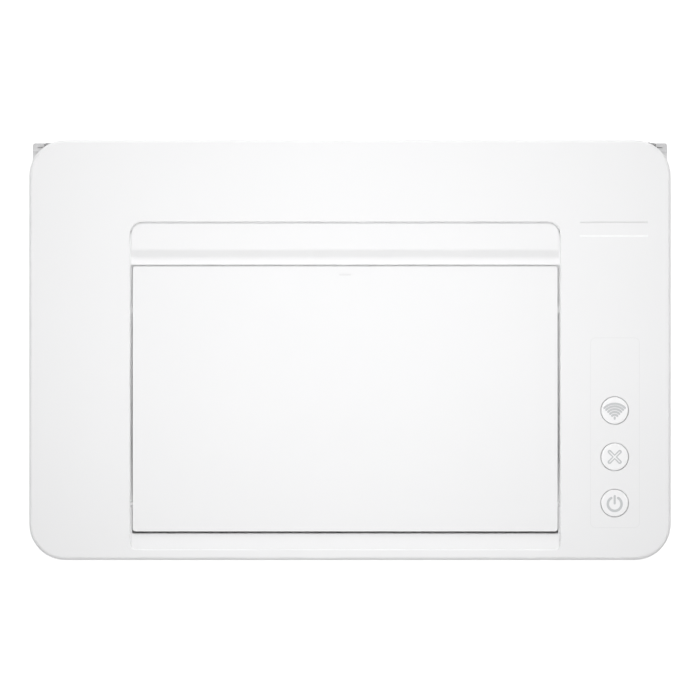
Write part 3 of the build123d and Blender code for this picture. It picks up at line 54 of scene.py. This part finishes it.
# The camera looks straight down from far away through a long lens: the sensor in mm, the rest in metres
cameraView = {
    "distance": 15.5, "widthSeen": 0.36204, "middle": (0.0, 0.0),
    "sensor": 36.0, "near": 0.1, "far": 60.0,
}


# lens = sensor * distance / width seen, so that this width fills the frame at the cover's height
def placeCamera(view):
    camera = bpy.data.objects.new("camera", bpy.data.cameras.new("camera"))
    bpy.context.scene.collection.objects.link(camera)
    camera.data.sensor_width = view["sensor"]
    camera.data.lens = view["sensor"] * view["distance"] / view["widthSeen"]
    camera.data.clip_start = view["near"]
    camera.data.clip_end = view["far"]
    camera.location = (*view["middle"], coverTop * mm + view["distance"])
    bpy.context.scene.camera = camera


def linkNodes(tree, *pairs):
    for source, target in pairs:
        tree.links.new(source, target)


# One step of arithmetic on sockets or numbers
def mathOn(tree, operation, first, second=None):
    node = tree.nodes.new("ShaderNodeMath")
    node.operation = operation
    for index, value in enumerate((first, second)):
        if hasattr(value, "default_value"):
            linkNodes(tree, (value, node.inputs[index]))
        elif value is not None:
            node.inputs[index].default_value = value
    return node.outputs[0]


# A small lamp high over the cover, a wide one behind it, low ones at the front and sides, and a plain
# pale sky. Each lamp is a disk: its diameter in metres, its power in watts, its place, the point that
# it faces, and its beam's full angle in degrees. The key lamp's narrow beam makes the cover fade a
# little from its middle to its edges
studio = {
    "sky": 0.373, "backdrop": 1.0,
    "floorSide": 60.0, "floorDrop": 0.0004, "floorPaper": 0.86, "floorGlow": 0.7,
    "lamps": {
        "keyLamp": (0.3, 0.38, (0.0, 0.02, 1.20), (0.0, 0.02, 0.178), 54.0),
        "rearLamp": (1.2, 14.5, (0.0, 1.5, 1.25), (0.0, 0.0, 0.17), 180.0),
        "frontLamp": (1.6, 5.0, (0.0, -2.4, 0.45), (0.0, 0.0, 0.09), 180.0),
        "leftLamp": (1.6, 4.5, (-2.4, 0.0, 0.45), (0.0, 0.0, 0.09), 180.0),
        "rightLamp": (1.6, 3.5, (2.4, 0.0, 0.45), (0.0, 0.0, 0.09), 180.0),
    },
}


# 1 for a ray from the camera, off a reflection or through glass: the largest of the three flags
def seenDirectly(tree):
    path = tree.nodes.new("ShaderNodeLightPath")
    either = mathOn(tree, "MAXIMUM", path.outputs["Is Camera Ray"], path.outputs["Is Glossy Ray"])
    return mathOn(tree, "MAXIMUM", either, path.outputs["Is Transmission Ray"])


# One shader for what falls on the object, and another for what is seen directly
def splitBySight(tree, output, falling, seen):
    mix = tree.nodes.new("ShaderNodeMixShader")
    linkNodes(tree, (seenDirectly(tree), mix.inputs["Fac"]), (falling, mix.inputs[1]),
              (seen, mix.inputs[2]), (mix.outputs[0], output.inputs["Surface"]))


def plainSky(tree, strength):
    sky = tree.nodes.new("ShaderNodeBackground")
    sky.inputs["Color"].default_value = (1.0, 1.0, 1.0, 1.0)
    sky.inputs["Strength"].default_value = strength
    return sky.outputs[0]


# The lamp shines down its own z axis: tilted by atan(level reach / drop), then turned to its target
def hangLamp(name, size, power, place, target, beam):
    lamp = bpy.data.objects.new(name, bpy.data.lights.new(name, "AREA"))
    bpy.context.scene.collection.objects.link(lamp)
    lamp.data.shape = "DISK"
    lamp.data.size = size
    lamp.data.energy = power
    lamp.data.spread = math.radians(beam)
    lamp.location = place
    aim = np.array(target) - np.array(place)
    tilt = math.atan2(math.hypot(aim[0], aim[1]), -aim[2])
    lamp.rotation_euler = (tilt, 0.0, math.atan2(-aim[0], aim[1]))
    lamp.visible_camera = False


def lightStudio(settings):
    world = bpy.data.worlds.new("studio")
    bpy.context.scene.world = world
    world.use_nodes = True
    tree = world.node_tree
    tree.nodes.clear()
    output = tree.nodes.new("ShaderNodeOutputWorld")
    splitBySight(tree, output, plainSky(tree, settings["sky"]), plainSky(tree, settings["backdrop"]))
    for name, lamp in settings["lamps"].items():
        hangLamp(name, *lamp)


def layFloor(settings):
    half, level = settings["floorSide"] / 2, -settings["floorDrop"]
    mesh = bpy.data.meshes.new("floor")
    corners = [(-half, -half, level), (half, -half, level), (half, half, level), (-half, half, level)]
    mesh.from_pydata(corners, [], [(0, 1, 2, 3)])
    floor = bpy.data.objects.new("floor", mesh)
    bpy.context.scene.collection.objects.link(floor)
    material = bpy.data.materials.new("floorPaper")
    material.use_nodes = True
    tree = material.node_tree
    tree.nodes.clear()
    output = tree.nodes.new("ShaderNodeOutputMaterial")
    paper = tree.nodes.new("ShaderNodeBsdfDiffuse")
    paper.inputs["Color"].default_value = (settings["floorPaper"],) * 3 + (1.0,)
    glow = tree.nodes.new("ShaderNodeEmission")
    glow.inputs["Strength"].default_value = settings["floorGlow"]
    bright = tree.nodes.new("ShaderNodeAddShader")
    linkNodes(tree, (paper.outputs[0], bright.inputs[0]), (glow.outputs[0], bright.inputs[1]))
    splitBySight(tree, output, paper.outputs[0], bright.outputs[0])
    mesh.materials.append(material)


bpy.context.scene.view_settings.view_transform = "Standard"
placeCamera(cameraView)
lightStudio(studio)
layFloor(studio)
print("studio ready")

# The finishes' patterns read Object coordinates in metres. These are the waves per metre of the ones
# that every finish of a kind shares, and the range in which nearly all of a noise pattern lies
waves = {
    "cloud": 16.0, "gloss": 240.0, "patch": 45.0, "dust": 70.0, "haze": 120.0,
    "tracks": 170.0, "pads": 210.0,
}
mostNoise = (0.3, 0.7)


def newFinish(name):
    material = bpy.data.materials.new(name)
    material.use_nodes = True
    tree = material.node_tree
    tree.nodes.clear()
    output = tree.nodes.new("ShaderNodeOutputMaterial")
    shader = tree.nodes.new("ShaderNodeBsdfPrincipled")
    linkNodes(tree, (shader.outputs["BSDF"], output.inputs["Surface"]))
    return material, tree, shader


# Object coordinates, stretched where grain runs one way
def objectPlace(tree, stretch=None):
    place = tree.nodes.new("ShaderNodeTexCoord").outputs["Object"]
    if stretch is None:
        return place
    mapping = tree.nodes.new("ShaderNodeMapping")
    mapping.inputs["Scale"].default_value = stretch
    linkNodes(tree, (place, mapping.inputs["Vector"]))
    return mapping.outputs[0]


def noiseOver(tree, place, scale, detail=2.0):
    noise = tree.nodes.new("ShaderNodeTexNoise")
    noise.inputs["Scale"].default_value = scale
    noise.inputs["Detail"].default_value = detail
    linkNodes(tree, (place, noise.inputs["Vector"]))
    return noise.outputs["Fac"]


# The distance to the middle of the nearest cell, or to the nearest edge between cells
def cellsOver(tree, place, scale, feature="F1"):
    cells = tree.nodes.new("ShaderNodeTexVoronoi")
    cells.feature = feature
    cells.inputs["Scale"].default_value = scale
    linkNodes(tree, (place, cells.inputs["Vector"]))
    return cells.outputs["Distance"]


# A value carried from one range to another, held at the ends
def carriedTo(tree, value, old, new):
    node = tree.nodes.new("ShaderNodeMapRange")
    for key, number in zip(("From Min", "From Max", "To Min", "To Max"), (*old, *new)):
        node.inputs[key].default_value = number
    linkNodes(tree, (value, node.inputs["Value"]))
    return node.outputs["Result"]


# A mix of two colours, each of them fixed or a socket
def betweenColours(tree, factor, first, second):
    mix = tree.nodes.new("ShaderNodeMix")
    mix.data_type = "RGBA"
    linkNodes(tree, (factor, mix.inputs["Factor"]))
    for socket, colour in ((mix.inputs[6], first), (mix.inputs[7], second)):
        if hasattr(colour, "default_value"):
            linkNodes(tree, (colour, socket))
        else:
            socket.default_value = (*colour, 1.0)
    return mix.outputs[2]


def giveSkin(tree, shader, tone, rough):
    linkNodes(tree, (tone, shader.inputs["Base Color"]), (rough, shader.inputs["Roughness"]))


def bumpFrom(tree, shader, height, strength, distance):
    bump = tree.nodes.new("ShaderNodeBump")
    bump.inputs["Strength"].default_value = strength
    bump.inputs["Distance"].default_value = distance
    linkNodes(tree, (height, bump.inputs["Height"]), (bump.outputs["Normal"], shader.inputs["Normal"]))


def toneAround(colour, amount):
    return tuple(c * (1 - amount) for c in colour), tuple(min(c * (1 + amount), 1.0) for c in colour)


# The faint outline of the button panel, a rounded rectangle on the cover, in mm. A line is drawn only
# on what lies less than deep under the cover's top, and its colour is tone times the casing's
panelLine = {
    "left": 124.4, "right": 149.7, "front": -91.9, "rear": 6.3, "corner": 2.6,
    "width": 0.45, "deep": 1.3, "tone": 0.955,
}
# A short dash drawn a little darker on the flap near its free edge
flapDash = {
    "left": -5.2, "right": 0.2, "front": 38.9, "rear": 38.9, "corner": 0.0,
    "width": 1.0, "deep": 1.3, "tone": 0.93,
}


# 1 along a rounded rectangle's edge, and 0 from about half a line's width away. The distance is
# length(max(q, 0)) + min(max(qx, qy), 0) - corner, where q = |place - middle| - half size + corner
def lineOver(tree, place, line, full=0.3, gone=0.6):
    parts = tree.nodes.new("ShaderNodeSeparateXYZ")
    linkNodes(tree, (place, parts.inputs[0]))
    sides = []
    for axis, (low, high) in enumerate(((line["left"], line["right"]), (line["front"], line["rear"]))):
        away = mathOn(tree, "SUBTRACT", parts.outputs[axis], (low + high) / 2 * mm)
        half = ((high - low) / 2 - line["corner"]) * mm
        sides.append(mathOn(tree, "SUBTRACT", mathOn(tree, "ABSOLUTE", away), half))
    outer = [mathOn(tree, "MAXIMUM", side, 0.0) for side in sides]
    squares = [mathOn(tree, "MULTIPLY", side, side) for side in outer]
    inner = mathOn(tree, "MINIMUM", mathOn(tree, "MAXIMUM", *sides), 0.0)
    reach = mathOn(tree, "ADD", mathOn(tree, "SQRT", mathOn(tree, "ADD", *squares)), inner)
    distance = mathOn(tree, "ABSOLUTE", mathOn(tree, "SUBTRACT", reach, line["corner"] * mm))
    edge = carriedTo(tree, distance, (full * line["width"] * mm, gone * line["width"] * mm), (1.0, 0.0))
    onTop = mathOn(tree, "GREATER_THAN", parts.outputs[2], (coverTop - line["deep"]) * mm)
    return mathOn(tree, "MULTIPLY", edge, onTop)


# Moulded plastic: spark-eroded grain, faint clouding in the colour, a roughness that wanders a
# little, and a drawn line where there is one
def mouldedPlastic(name, colour, rough=0.45, grain=1900.0, depth=0.00002, cloud=0.004, spread=0.012,
                   line=None):
    material, tree, shader = newFinish(name)
    place = objectPlace(tree)
    clouds = noiseOver(tree, place, waves["cloud"], detail=3.0)
    clouds = carriedTo(tree, clouds, mostNoise, (0.0, 1.0))
    tone = betweenColours(tree, clouds, *toneAround(colour, cloud))
    if line:
        drawn = tuple(c * line["tone"] for c in colour)
        tone = betweenColours(tree, lineOver(tree, place, line), tone, drawn)
    gloss = noiseOver(tree, place, waves["gloss"])
    giveSkin(tree, shader, tone, carriedTo(tree, gloss, mostNoise, (rough - spread, rough + spread)))
    bumpFrom(tree, shader, noiseOver(tree, place, grain, detail=1.0), strength=0.35, distance=depth)
    return material


# Plated or ground metal: scratches along the stretch, darker and rougher in patches
def workedMetal(name, colour, rough=0.32, stretch=(40.0, 900.0, 900.0), patch=0.05, metallic=1.0):
    material, tree, shader = newFinish(name)
    shader.inputs["Metallic"].default_value = metallic
    lines = noiseOver(tree, objectPlace(tree, stretch), 1.0, detail=4.0)
    patches = noiseOver(tree, objectPlace(tree), waves["patch"], detail=3.0)
    patches = carriedTo(tree, patches, mostNoise, (0.0, 1.0))
    giveSkin(tree, shader, betweenColours(tree, patches, *toneAround(colour, patch)),
             carriedTo(tree, lines, (0.25, 0.75), (rough - 0.1, rough + 0.1)))
    bumpFrom(tree, shader, lines, strength=0.3, distance=0.00002)
    return material


# Rubber and foam: pores, with dust that lightens the surface in patches
def rubberSkin(name, colour, pores=1400.0, depth=0.00008, rough=0.82):
    material, tree, shader = newFinish(name)
    shader.inputs["Specular IOR Level"].default_value = 0.3
    place = objectPlace(tree)
    dust = noiseOver(tree, place, waves["dust"], detail=4.0)
    dust = carriedTo(tree, dust, (0.45, 0.8), (0.0, 1.0))
    dusty = tuple(c * 1.6 + 0.01 for c in colour)
    giveSkin(tree, shader, betweenColours(tree, dust, colour, dusty),
             carriedTo(tree, dust, (0.0, 1.0), (rough - 0.08, rough + 0.08)))
    bumpFrom(tree, shader, noiseOver(tree, place, pores), strength=0.6, distance=depth)
    return material


# Glass: clear, with a faint haze that changes its roughness
def clearGlass(name, colour, haze=0.03):
    material, tree, shader = newFinish(name)
    shader.inputs["Transmission Weight"].default_value = 1.0
    shader.inputs["IOR"].default_value = 1.49
    streak = noiseOver(tree, objectPlace(tree), waves["haze"], detail=3.0)
    giveSkin(tree, shader, betweenColours(tree, streak, *toneAround(colour, 0.02)),
             carriedTo(tree, streak, mostNoise, (0.01, haze)))
    return material


# Circuit board: green mask over copper tracks, which follow the edges of cells, with bare round pads
def boardMask(name, colour, pad=(0.7, 0.68, 0.62)):
    material, tree, shader = newFinish(name)
    shader.inputs["Coat Weight"].default_value = 0.4
    shader.inputs["Coat Roughness"].default_value = 0.2
    place = objectPlace(tree)
    tracks = cellsOver(tree, place, waves["tracks"], "DISTANCE_TO_EDGE")
    copper = carriedTo(tree, tracks, (0.04, 0.07), (1.0, 0.0))
    bare = carriedTo(tree, cellsOver(tree, place, waves["pads"]), (0.1, 0.13), (1.0, 0.0))
    mask = betweenColours(tree, copper, colour, tuple(c * 1.7 + 0.02 for c in colour))
    giveSkin(tree, shader, betweenColours(tree, bare, mask, pad),
             carriedTo(tree, bare, (0.0, 1.0), (0.4, 0.3)))
    bumpFrom(tree, shader, copper, strength=0.3, distance=0.00003)
    return material


casingWhite = (0.86, 0.86, 0.865)
finishOf = {
    "casing_white": mouldedPlastic("casingWhite", casingWhite),
    "casing_grey": mouldedPlastic("casingGrey", (0.6, 0.6, 0.61)),
    "button_white": mouldedPlastic("buttonWhite", casingWhite, rough=0.36, grain=2600.0, depth=0.000008),
    "guide_blue_grey": mouldedPlastic("guideBlueGrey", (0.26, 0.32, 0.39), rough=0.4),
    "gear_white": mouldedPlastic("gearAcetal", (0.76, 0.74, 0.67), rough=0.3, depth=0.000006),
    "black_plastic": mouldedPlastic("blackPlastic", (0.022, 0.022, 0.024), rough=0.5, cloud=0.15),
    "circuit_board": boardMask("boardMask", (0.02, 0.13, 0.055)),
    "sheet_steel": workedMetal("platedSheet", (0.62, 0.63, 0.65), rough=0.36,
                               stretch=(900.0, 50.0, 900.0)),
    "steel": workedMetal("groundSteel", (0.6, 0.6, 0.61), rough=0.24),
    "aluminium": workedMetal("turnedAluminium", (0.76, 0.76, 0.78), rough=0.28),
    "motor_metal": workedMetal("motorCan", (0.66, 0.66, 0.68), rough=0.34, stretch=(60.0, 60.0, 60.0)),
    "mirror_metal": workedMetal("mirrorFacets", (0.9, 0.9, 0.91), rough=0.13, patch=0.01),
    "fuser_metal": workedMetal("fuserSleeve", (0.14, 0.14, 0.145), rough=0.3),
    "drum_green": workedMetal("drumCoating", (0.03, 0.26, 0.2), rough=0.2, metallic=0.45),
    "roller_rubber": rubberSkin("rollerRubber", (0.02, 0.02, 0.022)),
    "roller_foam": rubberSkin("rollerFoam", (0.028, 0.028, 0.03), pores=800.0, depth=0.0003, rough=0.88),
    "foot_rubber": rubberSkin("footRubber", (0.05, 0.05, 0.05), depth=0.00004),
    "lens_glass": clearGlass("lensGlass", (0.93, 0.97, 0.97)),
    "lamp_glass": clearGlass("lampGlass", (0.97, 0.96, 0.92), haze=0.12),
}
slotOf = {row["node"]: row["material_slot"] for row in frame["record"]["subparts"]}


def dressNode(name, material):
    data = nodes[name].data
    data.materials.clear()
    data.materials.append(material)


for name in nodes:
    dressNode(name, finishOf[slotOf[name]])
dressNode("top_cover", mouldedPlastic("coverWhite", casingWhite, line=panelLine))
dressNode("output_flap", mouldedPlastic("flapWhite", casingWhite, line=flapDash))
print("CAD nodes dressed")


# New pieces are tubes worked out as whole arrays, in mm. A grid of rows and columns of points becomes
# a tube: each row closes into a ring, and the first and last row get a fan round their middle, one
# flat face, or none
def tubeOf(grid, caps="fan"):
    rows, columns = grid.shape[:2]
    points = grid.reshape(-1, 3)
    step = np.arange(columns)
    ahead = (step + 1) % columns
    row = np.arange(rows - 1)[:, None] * columns
    quads = np.stack([row + step, row + ahead, row + columns + ahead, row + columns + step], axis=-1)
    faces = quads.reshape(-1, 4).tolist()
    last = (rows - 1) * columns
    if caps == "fan":
        points = np.vstack([points, grid[0].mean(axis=0), grid[-1].mean(axis=0)])
        first, second = np.full(columns, rows * columns), np.full(columns, rows * columns + 1)
        faces += np.stack([first, ahead, step], axis=-1).tolist()
        faces += np.stack([second, last + step, last + ahead], axis=-1).tolist()
    elif caps == "flat":
        faces += [list(range(columns))[::-1], list(range(last, last + columns))]
    return points, faces


# Several tubes laid into one mesh, in order, from mm into metres
def meshOf(name, *tubes):
    faces, start = [], 0
    for points, tubeFaces in tubes:
        faces += [tuple(corner + start for corner in face) for face in tubeFaces]
        start += len(points)
    mesh = bpy.data.meshes.new(name)
    mesh.from_pydata((np.vstack([points for points, tubeFaces in tubes]) * mm).tolist(), [], faces)
    mesh.update()
    return mesh


# A closed mesh becomes a piece: points less than weld mm apart are joined, its faces are turned
# outwards, and edges sharper than the crisp angle, in degrees, stay crisp
def makePiece(name, mesh, material, body, crisp=35, weld=0.001):
    shell = bmesh.new()
    shell.from_mesh(mesh)
    bmesh.ops.remove_doubles(shell, verts=shell.verts, dist=weld * mm)
    bmesh.ops.recalc_face_normals(shell, faces=shell.faces)
    shell.to_mesh(mesh)
    shell.free()
    piece = bpy.data.objects.new(name, mesh)
    bpy.context.scene.collection.objects.link(piece)
    mesh.materials.append(material)
    mesh.polygons.foreach_set("use_smooth", np.ones(len(mesh.polygons), bool))
    mesh.set_sharp_from_angle(angle=math.radians(crisp))
    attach(piece, body)
    return piece


# An arc in its own plane: (cx + r cos a, cy + r sin a) for a from first to last, in degrees
def arcPoints(cx, cy, radius, first, last, count):
    angle = np.radians(np.linspace(first, last, count))
    return np.stack([cx + radius * np.cos(angle), cy + radius * np.sin(angle)], axis=-1)


# A profile of (radius, height) pairs turned about an upright axis:
# x = cx + r cos a, y = cy + r sin a, z = h
def turnedGrid(profile, centre, steps=96):
    radius, height = np.array(profile, float).T[:, :, None]
    angle = np.arange(steps) * 2 * np.pi / steps
    x, y = centre[0] + radius * np.cos(angle), centre[1] + radius * np.sin(angle)
    return np.stack(np.broadcast_arrays(x, y, height), axis=-1)


# The middle of a node's box, seen from above, in mm
def middleOf(node):
    low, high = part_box(node)
    return (low[0] + high[0]) / 2 / mm, (low[1] + high[1]) / 2 / mm


# The three push buttons, in mm: each is one turned piece, stem, flange and cap, with a rolled rim
# round a flat face
pushButton = {
    "top": 177.9, "capRadius": 7.1, "rimRoll": 0.4, "rimWidth": 1.2,
    "flangeRadius": 8.4, "flangeTop": 175.7, "flangeThick": 1.0, "flangeEdge": 0.1,
    "stemRadius": 2.2, "stemEnd": 171.3, "stemFlare": 0.3, "poleRadius": 0.05,
    "bodies": ("wireless", "cancel", "power"),
}


# The profile runs from the stem's end out round the flange, up the cap's side and in over its face
def makeButton(body, size):
    top, cap, roll = size["top"], size["capRadius"], size["rimRoll"]
    stem, flare, pole = size["stemRadius"], size["stemFlare"], size["poleRadius"]
    flange, wide, edge = size["flangeTop"], size["flangeRadius"], size["flangeEdge"]
    low = flange - size["flangeThick"]
    profile = [(pole, size["stemEnd"]), (stem, size["stemEnd"]), (stem, low - flare),
               (stem + flare, low), (wide - edge, low), (wide, low + edge), (wide, flange - edge),
               (wide - edge, flange), (cap, flange)]
    profile += arcPoints(cap - roll, top - roll, roll, 0, 90, count=7).tolist()
    profile += [(cap - size["rimWidth"], top), (cap / 2, top), (pole, top)]
    mesh = meshOf(body + "Cap", tubeOf(turnedGrid(profile, middleOf(body + "_button"))))
    piece = makePiece(body + "Cap", mesh, finishOf["button_white"], body)
    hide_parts(body + "_button")


# The buttons' symbols in thin raised ink, in mm and degrees: a fan of arcs over a dot, an outlined
# cross, and an open ring with a bar
symbolInk = {
    "raised": 0.03, "sunk": 0.02,
    "fanTip": -4.1, "fanSpread": 44, "fanWidth": 1.2, "fanRadii": (1.9, 3.35, 4.8, 6.25, 7.6),
    "dotSpan": (-0.1, 0.5), "dotWidth": 1.1,
    "crossArm": 3.75, "crossHalf": 0.62, "crossLine": 0.8,
    "ringRadius": 3.55, "ringWidth": 1.35, "ringOpen": 30, "ringDrop": 0.45,
    "barSpan": (-0.1, 3.6), "barWidth": 1.2,
}
symbolGrey = mouldedPlastic("symbolGrey", (0.56, 0.57, 0.58), rough=0.5, grain=2600.0, depth=0.000004,
                            cloud=0.03)


# A stroke of ink along a flat path: a low four-sided section stands across it at each point, and
# near a free end the half width shrinks to sqrt(1 - t * t) of itself, which makes the end round
def inkStroke(path, width, low, high, closed=False, thinnest=0.01, topShare=0.9, endSteps=5):
    path = np.array(path, float)
    if closed:
        along = np.roll(path, -1, axis=0) - np.roll(path, 1, axis=0)
        half = np.full(len(path), width / 2)
    else:
        turn = np.linspace(0.0, np.pi / 2, endSteps + 1)[1:]
        spread = np.sin(turn)[:, None] * width / 2
        ahead, back = path[0] - path[1], path[-1] - path[-2]
        path = np.vstack([(path[0] + spread * ahead / np.hypot(*ahead))[::-1], path,
                          path[-1] + spread * back / np.hypot(*back)])
        along = np.gradient(path, axis=0)
        narrow = np.maximum(np.cos(turn) * width / 2, thinnest)
        half = np.concatenate([narrow[::-1], np.full(len(path) - 2 * len(turn), width / 2), narrow])
    along /= np.hypot(along[:, 0], along[:, 1])[:, None]
    across = np.stack([-along[:, 1], along[:, 0]], axis=-1)
    share, height = np.array([(-1.0, low), (-topShare, high), (topShare, high), (1.0, low)]).T
    flat = path[:, None, :] + across[:, None, :] * (half[:, None] * share)[:, :, None]
    grid = np.dstack([flat, np.broadcast_to(height, flat.shape[:2])])
    return np.vstack([grid, grid[:1]]) if closed else grid


# An outlined cross: round each arm's end half a circle, and between two arms the corner where their
# sides meet, half the arm's width times sqrt(2) from the middle
def crossPath(arm, halfWidth):
    points, inner = [], halfWidth * math.sqrt(2)
    for turn in (45, 135, 225, 315):
        angle, corner = math.radians(turn), math.radians(turn + 45)
        tip = arm * math.cos(angle), arm * math.sin(angle)
        points += arcPoints(*tip, halfWidth, turn - 90, turn + 90, count=13).tolist()
        points.append((inner * math.cos(corner), inner * math.sin(corner)))
    return points


# Every arc is a stroke along (cx + r cos a, cy + r sin a), and the dot and the bar are strokes along y
def makeSymbols(size, button):
    low, high = button["top"] - size["sunk"], button["top"] + size["raised"]
    tip, fanSpread, gap = size["fanTip"], size["fanSpread"], size["ringOpen"]
    arcs = [arcPoints(0.0, tip, radius, 90 - fanSpread, 90 + fanSpread, count=41)
            for radius in size["fanRadii"]]
    dot = [(0.0, tip + y) for y in size["dotSpan"]]
    fan = [inkStroke(arc, size["fanWidth"], low, high) for arc in arcs]
    fan.append(inkStroke(dot, size["dotWidth"], low, high))
    outline = crossPath(size["crossArm"], size["crossHalf"])
    cross = [inkStroke(outline, size["crossLine"], low, high, closed=True)]
    ring = arcPoints(0.0, -size["ringDrop"], size["ringRadius"], 90 + gap, 450 - gap, count=61)
    bar = [(0.0, y) for y in size["barSpan"]]
    power = [inkStroke(ring, size["ringWidth"], low, high), inkStroke(bar, size["barWidth"], low, high)]
    drawn = (("wireless", fan, "fan"), ("cancel", cross, None), ("power", power, "fan"))
    for body, strokes, caps in drawn:
        shift = np.array([*middleOf(body + "_button"), 0.0])
        mesh = meshOf(body + "Symbol", *(tubeOf(grid + shift, caps) for grid in strokes))
        makePiece(body + "Symbol", mesh, symbolGrey, body)


for body in pushButton["bodies"]:
    makeButton(body, pushButton)
makeSymbols(symbolInk, pushButton)
print("buttons ready")

# The lip behind the flap, in mm: from a flat band its top dips into a soft valley and rises again to
# the front edge. slopes holds the fall per mm towards the front at places along y; between them it
# changes evenly
exitLip = {
    "corner": 6.2, "seam": 0.6, "seamDeep": 1.0, "thick": 2.2, "roll": 0.5, "flatFrom": 53.0,
    "stopReach": 1.2, "stopTop": 173.8, "stopThick": 1.0,  # the stop under the flap's free edge
    "slopes": ((43.0, -0.35), (45.9, -0.35), (47.2, 0.0), (48.5, 0.24), (51.0, 0.24), (52.6, 0.0),
               (70.0, 0.0)),
    "topPoints": 36, "underPoints": 12, "cornerRows": 12, "crisp": 28,
}


# z(y) = top - the sum of the slopes from the rear edge to y, by the trapezium rule on fine steps
def lipTop(slopes, y, rear, top, count=400):
    where, slope = np.array(slopes).T
    places = np.linspace(rear, where[0], count)
    slope = np.interp(places, where, slope)
    fall = np.concatenate([[0.0], np.cumsum((slope[1:] + slope[:-1]) / 2 * -np.diff(places))])
    return top - np.interp(y, places[::-1], fall[::-1])


# The lip's closed section as (y, z) points: the stop, the rolled front edge, the top, the seam's
# step, and back along the under side, thick below the top. inside marks the points that lie within
# the seam
def lipSection(size, front, bottom, rear, top):
    slopes, seam, thick, roll = size["slopes"], size["seam"], size["thick"], size["roll"]
    stopTop, tip = size["stopTop"], front - size["stopReach"]
    stopLow = stopTop - size["stopThick"]
    stop = [(front, bottom), (front, stopLow), (tip, stopLow), (tip, stopTop), (front, stopTop)]
    start = front + roll
    rolled = arcPoints(start, float(lipTop(slopes, start, rear, top)) - roll, roll, 180, 90, count=5)
    along = np.linspace(start + roll / 2, size["flatFrom"], size["topPoints"])
    along = np.append(along, rear - seam)
    over = np.stack([along, lipTop(slopes, along, rear, top)], axis=-1)
    step = [(rear - seam, top - size["seamDeep"]), (rear, top - size["seamDeep"]), (rear, top - thick)]
    back = np.linspace(size["flatFrom"], front + thick, size["underPoints"])
    under = np.stack([back, lipTop(slopes, back, rear, top) - thick], axis=-1)
    section = np.vstack([stop, rolled, over, step, under, [(front + thick, bottom)]])
    inside = np.zeros(len(section), bool)
    inside[len(stop):len(stop) + len(rolled) + len(over) + 1] = True
    return section, inside


# The section is carried along x. Behind flatFrom its points draw in to follow the round rear corners,
# rear(x) = rear - corner + sqrt(corner^2 - (corner - dx)^2) for dx < corner from an end, with a
# corner smaller by the seam for the points inside it, and the two rows at each end stay below the
# seam's step
def makeExitLip(size):
    (left, front, bottom), (right, rear, top) = (np.array(end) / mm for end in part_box("exit_lip"))
    section, inside = lipSection(size, front, bottom, rear, top)
    seam, corner, flatFrom = size["seam"], size["corner"], size["flatFrom"]
    turn = np.linspace(0, np.pi / 2, size["cornerRows"])
    steps = np.concatenate([[0.0, seam], seam + (corner - seam) * (1 - np.cos(turn))])
    x = np.concatenate([left + steps, right - steps[::-1]])[:, None]
    dx = np.concatenate([steps, steps[::-1]])[:, None]
    outside = np.arange(len(steps)) < 2
    outside = np.concatenate([outside, outside[::-1]])[:, None]
    outer = rear - corner + np.sqrt(corner ** 2 - (corner - dx) ** 2)
    nearer = rear - corner + np.sqrt(np.maximum((corner - seam) ** 2 - (corner - dx) ** 2, 0.0))
    edge = np.where(inside & ~outside, nearer, outer)
    y, z = section.T
    share = np.maximum(y - flatFrom, 0.0) / (np.where(inside, rear - seam, rear) - flatFrom)
    y = np.where(y > flatFrom, flatFrom + share * (edge - flatFrom), y)
    z = np.where(outside, np.minimum(z, top - size["seamDeep"]), z)
    mesh = meshOf("exitLipCover", tubeOf(np.stack(np.broadcast_arrays(x, y, z), axis=-1), caps="flat"))
    piece = makePiece("exitLipCover", mesh, finishOf["casing_white"], "lid",
                      crisp=size["crisp"])
    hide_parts("exit_lip")


makeExitLip(exitLip)
print("exit lip ready")

# What stands in the two sockets, in mm: width, height, corner radius, where it starts and ends
# measured forwards from the socket's face, and its places beside and above the socket's middle
socketParts = {
    "inletPins": {
        "socket": "power_inlet", "bar": (2.0, 4.0, 0.6), "span": (15.4, 4.0), "slot": "steel",
        "places": ((-7.0, -1.8), (0.0, 2.2), (7.0, -1.8)),
    },
    "usbTongue": {
        "socket": "usb_port", "bar": (5.4, 3.0, 0.4), "span": (10.2, 1.6), "slot": "black_plastic",
        "places": ((0.0, 0.4),),
    },
}


# A rounded rectangle's points (u, v) carried along y and drawn in at the tip: (x + s u, y, z + s v),
# where s is 1 up to tip before the end, and drawnIn at the end
def barAlongY(x, z, bar, start, end, tip=0.7, drawnIn=0.75):
    width, height, corner = bar
    beside, above = width / 2 - corner, height / 2 - corner
    places = ((beside, above, 0), (-beside, above, 90), (-beside, -above, 180), (beside, -above, 270))
    arcs = [arcPoints(cx, cy, corner, first, first + 90, count=4) for cx, cy, first in places]
    u, v = np.vstack(arcs).T
    y = np.array([start, end - tip, end])[:, None]
    scale = np.array([1.0, 1.0, drawnIn])[:, None]
    return np.stack(np.broadcast_arrays(x + scale * u, y, z + scale * v), axis=-1)


# The bars of one socket, each from y = face - first depth to y = face - second depth
def makeSocketPart(name, part):
    low, high = (np.array(corner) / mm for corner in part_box(part["socket"]))
    middleX, middleZ, face = (low[0] + high[0]) / 2, (low[2] + high[2]) / 2, high[1]
    start, end = (face - deep for deep in part["span"])
    bars = [tubeOf(barAlongY(middleX + dx, middleZ + dz, part["bar"], start, end))
            for dx, dz in part["places"]]
    makePiece(name, meshOf(name, *bars), finishOf[part["slot"]], "root")


for name, part in socketParts.items():
    makeSocketPart(name, part)
print("sockets ready")
